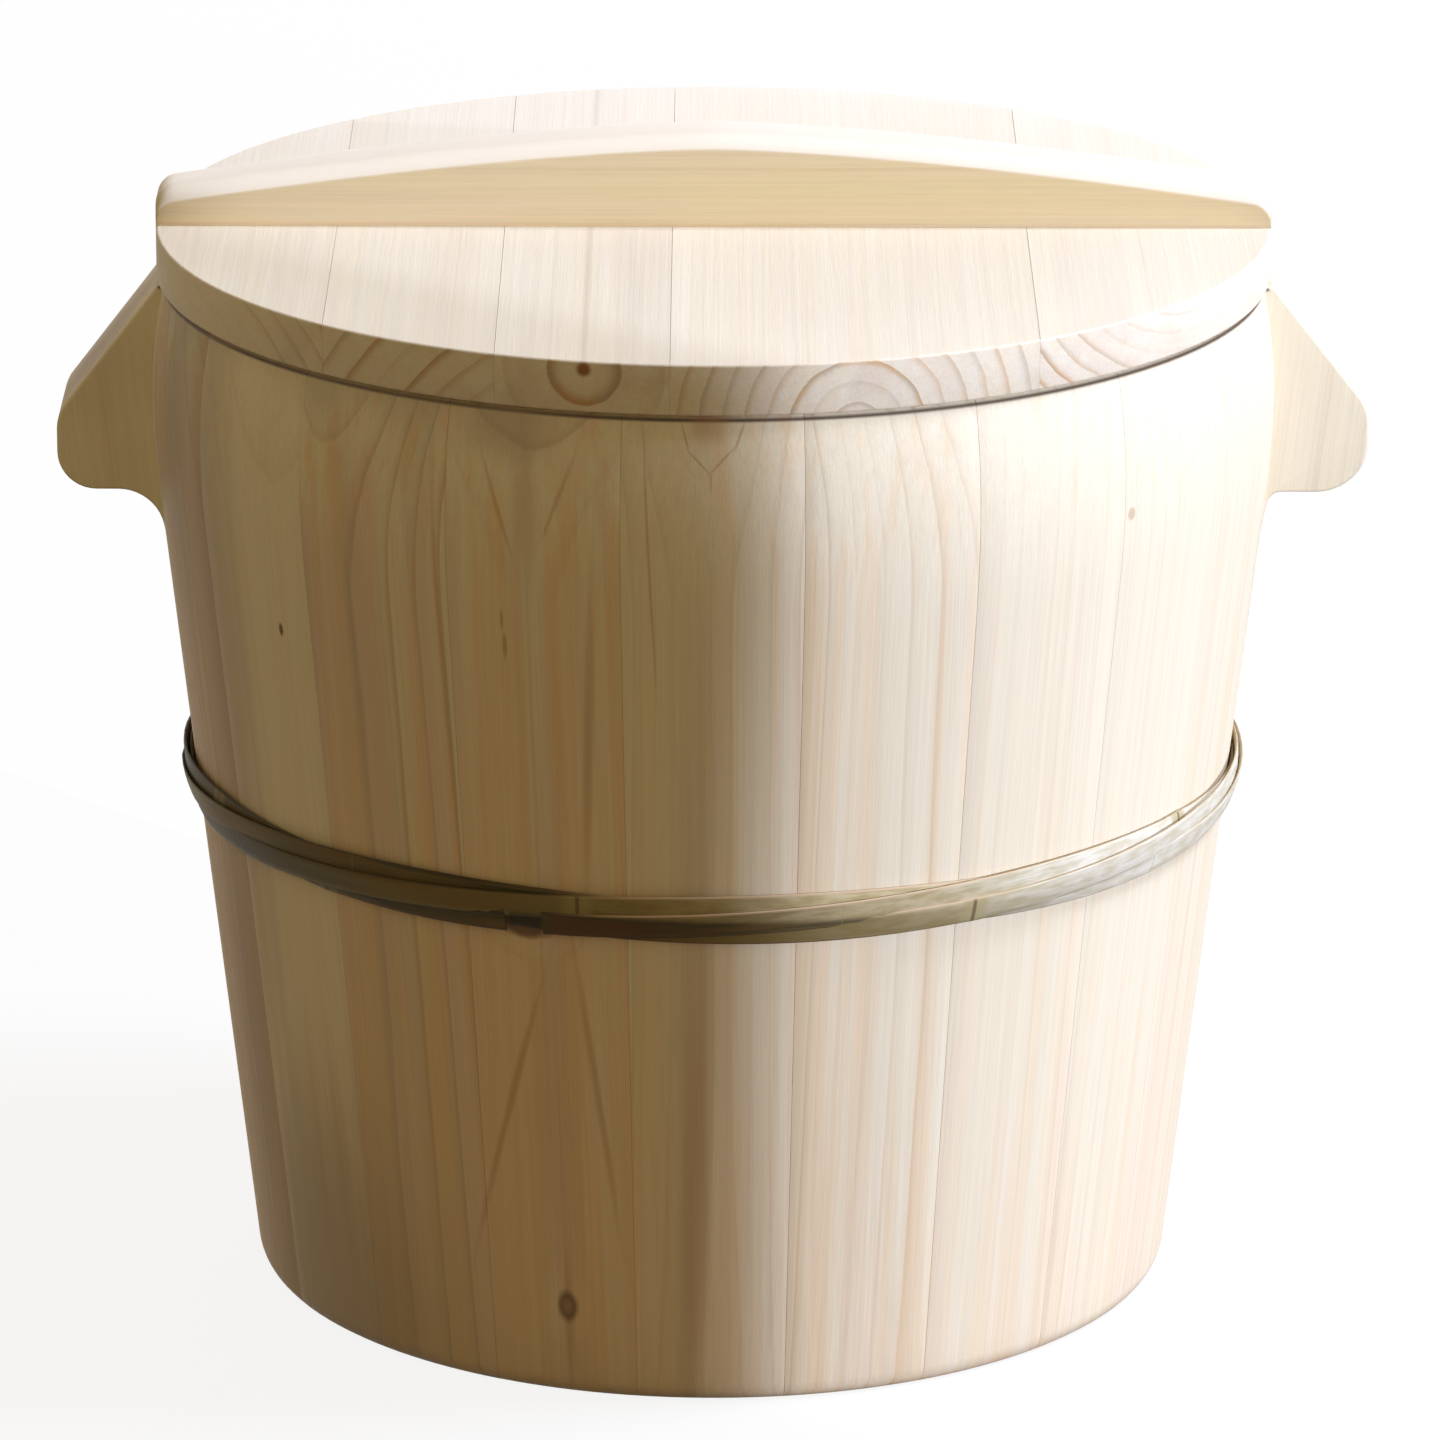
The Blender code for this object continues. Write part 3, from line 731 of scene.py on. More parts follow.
# %% [markdown]
# ## One stave
# The cooper planes both sides of a stave to half the angle between two staves, here 9 degrees, so that
# they close up like slices of a pie. A flat board bent by a modifier would get curved sides. So the
# section is set at stations across the stave instead, and it shrinks a little at both edges, which
# eases them.

# %% Sweep one stave
STAVE_COUNT = 20
STAVE_GAP = 0.00006
STAVE_EDGE = 0.00008
STAVE_FLATS = 9


def stave_mesh(name, proud=0.0):
    """The section at stations across one stave, centred on +X.

    A point of radius r turns by share * (9 degrees - asin((gap / 2 + distance) / r)). So both side faces
    are flat and lie half a gap from the joint planes.
    """
    distance, depth = eased(STAVE_EDGE, 3)
    flats = np.linspace(-1, 1, STAVE_FLATS + 1)[1:-1]
    share = np.concatenate([np.full(4, -1.0), flats, np.full(4, 1.0)])
    away = np.concatenate([distance, np.full(len(flats), STAVE_EDGE), distance[::-1]])
    shrink = np.concatenate([depth, np.zeros(len(flats)), depth[::-1]])
    rows = np.stack([inset(section, each) for each in shrink])
    radius, height = rows[..., 0] + proud, rows[..., 1]
    turn = share[:, None] * (math.pi / STAVE_COUNT - np.arcsin((STAVE_GAP / 2 + away[:, None]) / radius))
    return closed_mesh(name, np.stack([radius * np.cos(turn), radius * np.sin(turn), height], axis=2))


print("one stave:", len(stave_mesh("count").polygons), "faces")

# %% [markdown]
# ## The ears
# Two staves are sawn from a thick board, so each carries an ear to lift the bucket by. An ear is a flat
# block with a sloping top, a rounded nose, and a hand-cut hollow where its underside meets the wall. It
# could be a separate block, but the real one is the same wood as its stave, so a Boolean union joins
# them.

# %% Shape an ear
EAR_REACH = 0.0283
EAR_WIDTH = 0.035
EAR_TOP_DROP = 0.0005
EAR_HEIGHT = 0.0572
EAR_ROOT_DEPTH = 0.006
# Level shelf at the top, height of the slope, rounding of the nose, of the toe, and of the inner corner
EAR_SHAPES = {
    "ear_stave_right": (0.0019, 0.0337, 0.014, 0.0140, 0.004),
    "ear_stave_left": (0.0002, 0.0365, 0.012, 0.0105, 0.0125),
}
EAR_TAIL = (0.021, 0.002)     # height, and how deep it sinks into the wall
EAR_EDGE = 0.0009


def ear_mesh(name, shape):
    """The ear's outline in X and Z, at stations along Y whose end ones are eased."""
    shelf, slope_height, nose_round, toe_round, fillet = shape
    top = BODY_HEIGHT - EAR_TOP_DROP
    bottom = top - EAR_HEIGHT
    rim = float(outer_radius(BODY_HEIGHT))
    tip = rim + EAR_REACH
    tail = bottom - EAR_TAIL[0]
    tail_radius = float(outer_radius(tail))
    outline = rounded([
        (rim - EAR_ROOT_DEPTH, top, 0), (rim + shelf, top, 0.002), (tip, top - slope_height, nose_round),
        (tip, bottom, toe_round), (float(outer_radius(bottom)), bottom, fillet),
        (tail_radius - EAR_TAIL[1], tail, 0), (tail_radius - EAR_ROOT_DEPTH, tail, 0),
    ], 10)
    distance, depth = eased(EAR_EDGE, 5)
    half = EAR_WIDTH / 2
    place = np.concatenate([distance - half, [-half / 3, half / 3], half - distance[::-1]])
    shrink = np.concatenate([depth, [0, 0], depth[::-1]])
    rows = np.stack([inset(outline, each) for each in shrink])
    y = np.broadcast_to(place[:, None], rows.shape[:2])
    return closed_mesh(name, np.stack([rows[..., 0], y, rows[..., 1]], axis=2))


print("ear outline reaches", round(float(outer_radius(BODY_HEIGHT)) + EAR_REACH, 4))

# %% [markdown]
# ## The marks on this wall
# Every tree trunk differs, and so does every bucket. This table holds what shows on this one: its knots
# and pins, dark streaks, flecks, and soft shade. Some shade marks are painted shade, on the ear's slope,
# under the lid and low on the left, and the others are wood that has greyed. One pin is painted shade on
# the wall in the gap of the hoop.

# %% List the marks
# Kind, azimuth in degrees, height, half width and half length in mm, lean, and strength
WALL_MARKS = [
    ("pin", 220.3, 205.6, 0.9, 1.9, 0.0, 0.95),
    ("knot", 252.8, 26, 2.9, 4.6, 0.0, 0.85),
    ("streak", 252.9, 24, 1.8, 24, 0.3, 0.40),
    ("fleck", 249.0, 214.5, 0.7, 3.8, 0.0, 0.55),
    ("fleck", 248.8, 221.8, 0.5, 3.0, 0.0, 0.5),
    # painted shade on the wall in the gap between the hoop's cut ends
    ("pin", 249.9, 135.6, 6.6, 3.4, 0.0, 0.95),
    ("fleck", 316.0, 240.5, 1.5, 1.9, 0.0, 0.45),
    ("streak", 257.4, 190, 1.8, 52, 1.6, 0.42),
    ("streak", 268.3, 64, 4.4, 80, 1.0, 0.34),
    ("streak", 242.0, 208, 0.9, 72, -0.9, 0.30),
    ("streak", 247.0, 85, 1.3, 50, 12.5, 0.45),
    ("streak", 257.1, 92, 1.3, 46, -5.2, 0.42),
    ("streak", 252.3, 90, 7.0, 70, 0.0, 0.16),
    ("streak", 251.5, 250, 4.5, 20, 0.0, 0.30),
    ("streak", 248.6, 252, 0.8, 18, -12.3, 0.40),
    ("streak", 254.8, 256, 0.8, 15, 14.0, 0.35),
    ("shade", 249.5, 274, 16, 11, 0.0, 0.55),
    ("shade", 227.5, 276, 12, 10, 0.0, 0.35),
    ("shade", 268.0, 100, 6.0, 150, 1.0, 0.34),
    # painted shade low on the left, here and in the next mark
    ("shade", 217.0, 16, 48, 72, 0.0, 0.70),
    ("shade", 203.0, 80, 13, 95, 0.0, 0.60),
    # painted shade in a band under the lid
    ("shade", 240.0, 285, 66, 17, 0.0, 0.36),
    # painted shade on the ear's slope, under the lid's edge
    ("shade", 180.0, 256, 17.5, 27, 0.0, 0.75),
    ("shade", 199.0, 232, 17.0, 62, 0.0, 0.45),
    ("shade", 208.0, 190, 17, 150, 0.0, 0.50),
    ("streak", 267.3, 273.0, 0.5, 5.4, -10.0, 0.50),
    ("streak", 268.6, 267.0, 0.5, 4.2, -35.0, 0.50),
    ("streak", 272.6, 273.4, 0.5, 5.2, 14.0, 0.50),
    ("streak", 271.0, 267.6, 0.5, 5.0, 35.0, 0.50),
    ("streak", 269.5, 278, 6.5, 8, 0.0, 0.45),
    ("streak", 269.8, 261.5, 0.4, 4, 0.0, 0.35),
    ("streak", 263.8, 240, 0.5, 42, -1.8, 0.42),
    ("knot", 18.0, 71, 2.2, 3.4, 0.0, 0.70),
    ("knot", 71.0, 118, 2.8, 4.0, 0.0, 0.75),
    ("knot", 133.0, 232, 1.9, 2.6, 0.0, 0.60),
]
print("marks on the wall:", len(WALL_MARKS))

# %% [markdown]
# ## Where each stave was sawn
# A stave sawn near the pith shows narrow arches under the rim, and one from the side of the trunk shows
# straight lines. The staves in view follow the real ones. The others are drawn by chance, from a fixed
# seed.

# %% List the staves in view
# Pith across and depth in mm, ring spacing in mm, tone, warmth, and the bow below and above the middle
SHOWN_STAVES = {
    0: (-60, 8, 5.4, 1.07, -0.10, 0.0, 0.0),
    10: (-60, 8, 5.4, 1.05, 0.00, 0.0, 0.0),
    11: (24, 40, 5.2, 0.84, 0.10, 0.4, 0.0),
    12: (9, 42, 5.6, 1.03, -0.14, 0.5, 0.0),
    13: (-13, 28, 5.0, 0.98, 0.07, 0.2, 0.0),
    14: (0, 40, 5.4, 1.00, 0.09, 0.3, 0.0),
    15: (-2.5, 16.4, 5.5, 1.02, -0.01, 1.1, 0.0),
    16: (34, 30, 5.8, 1.02, -0.11, 1.0, 0.0),
    17: (-70, 20, 5.5, 1.03, -0.21, 0.3, 0.0),
    18: (75, 26, 5.9, 1.03, -0.22, 0.3, 0.0),
    19: (-80, 15, 5.2, 1.03, -0.22, 0.3, 0.0),
}
# The least and the most of the same values, for the other staves
DRAWN_LEAST = np.array([-18, 16, 4.4, 0.95, -0.13, 0.0, 0.0])
DRAWN_MOST = np.array([18, 60, 6.2, 1.05, 0.13, 2.5, 0.5])
# Whole part: which draw of strengths and tints the rings get. Fraction: where the first ring ends
RING_SEEDS = {13: 11.30, 14: 14.55, 15: 15.72}
BOW_MIDDLE = 0.134            # metres up a stave, where its bow is nil
print("staves in view:", len(SHOWN_STAVES))

# %% [markdown]
# ## Twenty staves
# One loop makes the staves. Each is swept, gets its ear if it has one, is turned to its place and
# marked with its grain. A hair's difference in how far it stands out makes its joints catch the light.

# %% Build all the staves
PALE_FIR = (0.800, 0.735, 0.560, 1)
WARM_FIR = (0.800, 0.625, 0.465, 1)
GOLD_FIR = (0.785, 0.590, 0.355, 1)
STAVE_PROUD = 0.00008         # how much one stave stands out more than another
STAVE_SET_IN = 0.00018        # keeps these rounder staves inside the box of the faceted solids
# the heights of the painted shade under the lid's rim
RIM_SHADE_HEIGHTS = (BODY_HEIGHT - 0.0021, BODY_HEIGHT - 0.0012)
WARM_FOOT = 0.42

chance = np.random.default_rng(11)
fir_wall = fir("stave_fir", PALE_FIR, WARM_FIR, GOLD_FIR, end_axis=2, marks=WALL_MARKS,
               painted_rim_shade=RIM_SHADE_HEIGHTS, warm_foot=WARM_FOOT)
slope = np.array([FLARE, 1.0]) / math.hypot(FLARE, 1.0)
up = np.array([0, 0, 1])
for index in range(STAVE_COUNT):
    turn = index * 2 * math.pi / STAVE_COUNT
    node = {0: "ear_stave_right", STAVE_COUNT // 2: "ear_stave_left"}.get(index, f"stave_{index:02d}")
    draw = chance.random(8)
    proud = STAVE_PROUD * (draw[0] - 0.5) - STAVE_SET_IN
    stave = new_piece("fir_" + node, stave_mesh("fir_" + node, proud))
    if node in EAR_SHAPES:
        carve(stave, ear_mesh("ear", EAR_SHAPES[node]), "UNION")
    stave.data.transform(Matrix.Rotation(turn, 4, "Z"))
    out = np.array([math.cos(turn), math.sin(turn), 0])
    side = np.array([-math.sin(turn), math.cos(turn), 0])
    axes = [side, out * slope[1] - up * slope[0], out * slope[0] + up * slope[1]]
    figure = SHOWN_STAVES.get(index, DRAWN_LEAST + (DRAWN_MOST - DRAWN_LEAST) * draw[1:])
    across, depth, spacing, tone, warmth, low_bow, high_bow = figure
    ring_seed = RING_SEEDS.get(index, index + 0.1 + 0.8 * draw[7])
    mark_grain(stave, axes, FOOT_RADIUS * out, (across, depth), spacing, tone, warmth, ring_seed,
               (low_bow, high_bow), BOW_MIDDLE)
    dress(stave, fir_wall, node, "bucket")
print("staves:", STAVE_COUNT, "of which", len(EAR_SHAPES), "carry an ear")

# %% [markdown]
# ## The lid
# Five boards lie side by side with their grain from front to back. Each board is its plan, a strip cut
# by a circle, raised through its thickness. A disc could be cut into five instead, but then its edges
# could not be eased by different amounts: the long ones hardly at all, the round rim more.

# %% Shape the lid's boards
LID_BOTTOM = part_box("lid_board_4")[0].z
LID_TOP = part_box("lid_board_4")[1].z
LID_OVERHANG = 0.0015
LID_RADIUS = float(outer_radius(BODY_HEIGHT)) + LID_OVERHANG
RIM_EDGE = 0.0008
BOARD_EDGE = 0.00006


def strip_outline(low, high, radius, steps):
    """A strip along Y between two values of X whose ends are arcs of one circle."""
    turn = np.linspace(math.acos(min(high / radius, 1)), math.acos(max(low / radius, -1)), steps + 1)
    arc = radius * np.stack([np.cos(turn), np.sin(turn)], axis=1)
    if low <= -radius:
        arc = arc[:-1]
    back = arc[::-1] * (1, -1)
    if high >= radius:
        back = back[:-1]
    outline = np.concatenate([arc, back])
    return outline if low > -radius else np.concatenate([arc, [[-radius, 0]], back])


def board_mesh(name, low, high, bottom, top):
    """The board's plan at heights that follow a quarter round at its lower and its upper edge."""
    distance, depth = eased(1.0, 4)
    swing = math.acos(max(low / LID_RADIUS, -1)) - math.acos(min(high / LID_RADIUS, 1))
    steps = max(int(90 * swing), 12)
    heights = np.concatenate([bottom + distance * RIM_EDGE, top - distance[::-1] * RIM_EDGE])
    shrink = np.concatenate([depth, depth[::-1]])
    rings = []
    for height, share in zip(heights, shrink):
        radius = LID_RADIUS - RIM_EDGE * share
        left = -radius if low <= -LID_RADIUS else low + BOARD_EDGE * share
        right = radius if high >= LID_RADIUS else high - BOARD_EDGE * share
        plan = strip_outline(left, right, radius, steps)
        rings.append(np.column_stack([plan, np.full(len(plan), height)]))
    return closed_mesh(name, np.array(rings))


def tongue_mesh(name, neck, foot, floor_height, roof_height, reach):
    """A dovetail bar along X: narrow at its neck, wide at its foot."""
    outline = [(-foot, floor_height), (foot, floor_height), (neck, roof_height), (-neck, roof_height)]
    rings = [[(x, y, z) for y, z in outline] for x in (-reach, reach)]
    return closed_mesh(name, np.array(rings))


print("lid radius", round(LID_RADIUS, 4), "and thickness", round(LID_TOP - LID_BOTTOM, 4))

# %% [markdown]
# ## Five boards with a groove
# The boards' ends make the lid's rim. The third board shows its pith there, and the fourth shows wide
# arches round a pith just below it. A dovetail groove crosses all five. It is a Boolean, because it
# cuts across the curved ends. Each board lies a hair lower or higher than the next, as planed boards
# do.

# %% Saw the lid's boards
BOARD_COUNT = 5
BOARD_GAP = 0.00004
SOLID_HALF_GAP = 0.00015
TOP_STEP = 0.00003
GROOVE_DEPTH = 0.0053
GROOVE_NECK = 0.0063
GROOVE_FOOT = 0.00816
GROOVE_OVERRUN = 0.01
LID_PALE = (0.800, 0.745, 0.605, 1)
LID_WARM = (0.785, 0.695, 0.550, 1)
LID_GOLD = (0.785, 0.700, 0.520, 1)
# Pith across and depth below the underside in mm, ring spacing, tone, warmth, ring seed
LID_BOARDS = {
    1: (-160, 30, 5.0, 1.03, -0.05, 19.4),
    2: (-18, 45, 6.5, 1.03, -0.05, 14.2),
    3: (-33, -11.3, 11.0, 1.02, -0.05, 4.1),
    4: (36.5, 3.5, 5.6, 1.04, 0.05, 43.81),
    5: (128, -38, 4.8, 1.04, 0.00, 5.1),
}

joints = [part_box(f"lid_board_{number}")[1].x + SOLID_HALF_GAP for number in range(1, BOARD_COUNT)]
edges = [-LID_RADIUS, *joints, LID_RADIUS]
fir_lid = fir("lid_fir", LID_PALE, LID_WARM, LID_GOLD, end_axis=1, contrast=0.12, end_contrast=0.95)
groove_top = GROOVE_NECK - (GROOVE_FOOT - GROOVE_NECK)
for number, (low, high) in enumerate(zip(edges, edges[1:]), start=1):
    low = low + BOARD_GAP / 2 if number > 1 else low
    high = high - BOARD_GAP / 2 if number < BOARD_COUNT else high
    name = f"fir_lid_board_{number}"
    board = new_piece(name, board_mesh(name, low, high, LID_BOTTOM, LID_TOP - TOP_STEP * chance.random()))
    groove = tongue_mesh("groove", groove_top, GROOVE_FOOT, LID_TOP - GROOVE_DEPTH,
                         LID_TOP + GROOVE_DEPTH, LID_RADIUS + GROOVE_OVERRUN)
    carve(board, groove, "DIFFERENCE")
    across, depth, spacing, tone, warmth, ring_seed = LID_BOARDS[number]
    mark_grain(board, [(1, 0, 0), (0, 0, 1), (0, 1, 0)], (0, 0, LID_BOTTOM), (across, depth), spacing,
               tone, warmth, ring_seed)
    dress(board, fir_lid, f"lid_board_{number}", "lid")
print("lid joints at", *[round(x, 4) for x in joints])

# %% [markdown]
# ## The handle
# The handle is one batten right across the lid: low at its ends, highest in the middle, with rounded
# upper edges. Under it runs a dovetail tongue that slides into the groove across the boards and keeps
# them flat. Its sections are worked out along X, and the end ones bow out, so that the ends follow the
# lid's rim.

# %% Shape the handle
HANDLE_WIDTH = 0.0195
HANDLE_HEIGHT = 0.0255
HANDLE_DROP = 0.0155
HANDLE_POWER = 1.5
HANDLE_ROUND = 0.005
HANDLE_SEAT = 0.00002
TONGUE_DEPTH = 0.005
TONGUE_NECK = 0.006
TONGUE_FOOT = 0.00775
HANDLE_PALE = (0.670, 0.555, 0.345, 1)
HANDLE_WARM = (0.650, 0.520, 0.305, 1)
HANDLE_GOLD = (0.645, 0.530, 0.290, 1)
# painted light on the handle's upward faces
HANDLE_TOP_LIGHT = (0.850, 0.785, 0.650, 1)


def handle_height(x):
    """height = 25.5 mm - 15.5 mm * (|x| / R) ** 1.5, and a quarter circle takes off the last 5 mm."""
    reach = np.abs(x)
    height = HANDLE_HEIGHT - HANDLE_DROP * (reach / LID_RADIUS) ** HANDLE_POWER
    into_end = np.clip(reach - (LID_RADIUS - HANDLE_ROUND), 0, HANDLE_ROUND)
    return height - HANDLE_ROUND + np.sqrt(HANDLE_ROUND ** 2 - into_end ** 2)


def handle_mesh(name):
    """Sections in Y and Z along X; the point at width y sits at share * sqrt(R ** 2 - y ** 2)."""
    straight = LID_RADIUS - HANDLE_ROUND
    ends = straight + HANDLE_ROUND * np.sin(np.linspace(0, math.pi / 2, 9))[1:]
    place = np.concatenate([-ends[::-1], np.linspace(-straight, straight, 97), ends])
    half = HANDLE_WIDTH / 2
    turn = np.linspace(0, math.pi / 2, 10)
    top = LID_TOP + handle_height(place)[:, None]
    seat = LID_TOP + HANDLE_SEAT
    foot = LID_TOP - TONGUE_DEPTH
    tongue = [(TONGUE_FOOT, foot), (TONGUE_NECK, LID_TOP), (TONGUE_NECK, seat), (half, seat)]
    low_y, low_z = np.array(tongue).T
    low_z = np.broadcast_to(low_z, (len(place), len(tongue)))
    side_y = np.concatenate([low_y, half - HANDLE_ROUND * (1 - np.cos(turn))])
    side_z = np.concatenate([low_z, top - HANDLE_ROUND * (1 - np.sin(turn))], axis=1)
    y = np.concatenate([side_y, -side_y[::-1]])
    z = np.concatenate([side_z, side_z[:, ::-1]], axis=1)
    x = (place / LID_RADIUS)[:, None] * np.sqrt(LID_RADIUS ** 2 - y ** 2)
    return closed_mesh(name, np.stack([x, np.broadcast_to(y, x.shape), z], axis=2))


fir_handle = fir("handle_fir", HANDLE_PALE, HANDLE_WARM, HANDLE_GOLD, end_axis=0, contrast=0.35,
                 painted_top_light=HANDLE_TOP_LIGHT)
handle = new_piece("fir_handle", handle_mesh("fir_handle"))
mark_grain(handle, [(0, 1, 0), (0, 0, 1), (1, 0, 0)], (0, 0, LID_TOP), pith=(55, 40), spacing=4.6,
           tone=1.0, warmth=0.05, seed=61.3)
dress(handle, fir_handle, "lid_handle", "lid")
print("handle top at", round(float(LID_TOP + handle_height(0.0)), 4))

# %% [markdown]
# ## The twisted bamboo hoop
# One long split of bamboo goes round the bucket four times and twists about itself, so that it looks
# like a rope of flat strips. A hoop of four closed rings would not cross itself like that. Here one
# strip follows the path, and its centre circles the middle of the hoop nine times in four rounds.

# %% Wind the hoop
HOOP_HEIGHT = 0.1411
HOOP_ROUNDS = 4
HOOP_CROSSINGS = 9
STRIP_THICKNESS = 0.0010
STRIP_WIDTH = 0.0070
LAY_DEPTH = 0.00105
LAY_HEIGHT = 0.0035
LAY_START = math.radians(-61)
STRIP_TILT = math.radians(9)
EDGE_TILT = math.radians(7)
HOOP_END_ANGLE = math.radians(-110)
HOOP_END_GAP = 0.0105
HOOP_CLEARANCE = 0.00025
STEPS_A_ROUND = 120
STRIP_SIDES = 20
CULM_FIRST = math.radians(80.1)
CULM_STEP = math.radians(95.3)
CULM_SWELL = 0.0003
CULM_SPREAD = 0.0028
FLAT_POWERS = (0.8, 0.75)     # square up the section: through its thickness, and across
HOOP_CREASE = math.radians(50)


def bent_power(value, power):
    """|value| ** power with the sign of the value: a circle's sine becomes a squarer one."""
    return np.sign(value) * np.abs(value) ** power


def hoop_rings():
    """Rings of the strip, and four numbers for each point.

    These are millimetres along the strip, the places across and through it from -1 to 1, and millimetres
    to the nearest node of the culm.

    lay = start + travel * 9 / 4 turns the strip's centre about the middle of the hoop. The section is a
    flattened ellipse. Outside it leans out, so that its upper edge lies over the strip above, and the
    highest and the lowest strip lean back to the wall.
    """
    middle = float(cone_radius(HOOP_HEIGHT)) + HOOP_CLEARANCE + LAY_DEPTH + STRIP_THICKNESS / 2
    end = HOOP_END_GAP / 2 / middle
    travel = np.linspace(end, 2 * math.pi * HOOP_ROUNDS - end, STEPS_A_ROUND * HOOP_ROUNDS)
    lay = LAY_START + travel * HOOP_CROSSINGS / HOOP_ROUNDS
    turn = travel + HOOP_END_ANGLE
    rim = 2 * math.pi * np.arange(STRIP_SIDES) / STRIP_SIDES
    culm = ((travel - CULM_FIRST + CULM_STEP / 2) % CULM_STEP - CULM_STEP / 2) * middle
    swell = CULM_SWELL * np.exp(-(culm / CULM_SPREAD) ** 2)[:, None]
    thick = STRIP_THICKNESS / 2 * bent_power(np.cos(rim), FLAT_POWERS[0]) + swell * np.cos(rim)
    wide = (STRIP_WIDTH / 2 + swell) * bent_power(np.sin(rim), FLAT_POWERS[1])
    lean = (STRIP_TILT * np.maximum(np.cos(lay), 0) - EDGE_TILT * np.sin(lay))[:, None]
    out = LAY_DEPTH * np.cos(lay)[:, None] + thick * np.cos(lean) + wide * np.sin(lean)
    up = LAY_HEIGHT * np.sin(lay)[:, None] + wide * np.cos(lean) - thick * np.sin(lean)
    radius = middle + out + FLARE * up
    turn = turn[:, None]
    rings = np.stack([radius * np.cos(turn), radius * np.sin(turn), HOOP_HEIGHT + up], axis=2)
    along, culm = [1000 * length[:, None] for length in (travel * middle, culm)]
    places = [along, np.sin(rim), np.cos(rim), culm]
    return rings, np.stack([np.broadcast_to(place, out.shape) for place in places], axis=-1)


rings, places = hoop_rings()
hoop = new_piece("split_bamboo_hoop", closed_mesh("split_bamboo_hoop", rings), HOOP_CREASE)
strip = hoop.data.attributes.new("strip", "FLOAT_COLOR", "POINT")
strip.data.foreach_set("color", places.astype(np.float32).ravel())
reach = np.hypot(rings[..., 0], rings[..., 1]).max()
print("hoop:", len(hoop.data.polygons), "faces, out to radius", round(float(reach), 4))

# %% [markdown]
# ## The colours of bamboo
# The outside of a split is its hard green-brown skin, with fine lines along it. Its edges and its
# inside are cut flesh, pale and dull. On the right a painted sheen lies over the skin, tan at first and
# then nearly white. The colours are named here, so that the finish below reads as words.

# %% Name the hoop's colours
SKIN_DARK = (0.040, 0.032, 0.010, 1)
SKIN_OLIVE = (0.190, 0.145, 0.050, 1)
SKIN_BROWN = (0.180, 0.105, 0.036, 1)
SKIN_LINE = (0.210, 0.165, 0.070, 1)
SKIN_RED = (0.100, 0.044, 0.012, 1)
# painted sheen on the right of the hoop: tan, then nearly white
SHEEN_TAN = ((0.460, 0.380, 0.190, 1), (0.620, 0.540, 0.330, 1))
SHEEN_WHITE = ((0.680, 0.640, 0.470, 1), (0.840, 0.820, 0.700, 1))
NODE_PALE = (0.420, 0.370, 0.180, 1)
NODE_SCAR = (0.100, 0.060, 0.025, 1)
FLESH = ((0.420, 0.300, 0.150, 1), (0.600, 0.470, 0.280, 1))
# painted shade in the cracks, painted highlight on upper edges, and painted shade in the gap
EDGE_SHADE = (0.030, 0.022, 0.010, 1)
EDGE_HIGHLIGHT = (0.560, 0.420, 0.280, 1)
GAP_SHADE = (0.020, 0.014, 0.006, 1)
HOOP_RADIUS = 0.142
HOOP_ROUND_LENGTH = 893       # millimetres; neighbouring rounds lie half a wave apart in tone
HOOP_WAVE_START = 3.74
print("one round of the hoop is", HOOP_ROUND_LENGTH, "mm long")
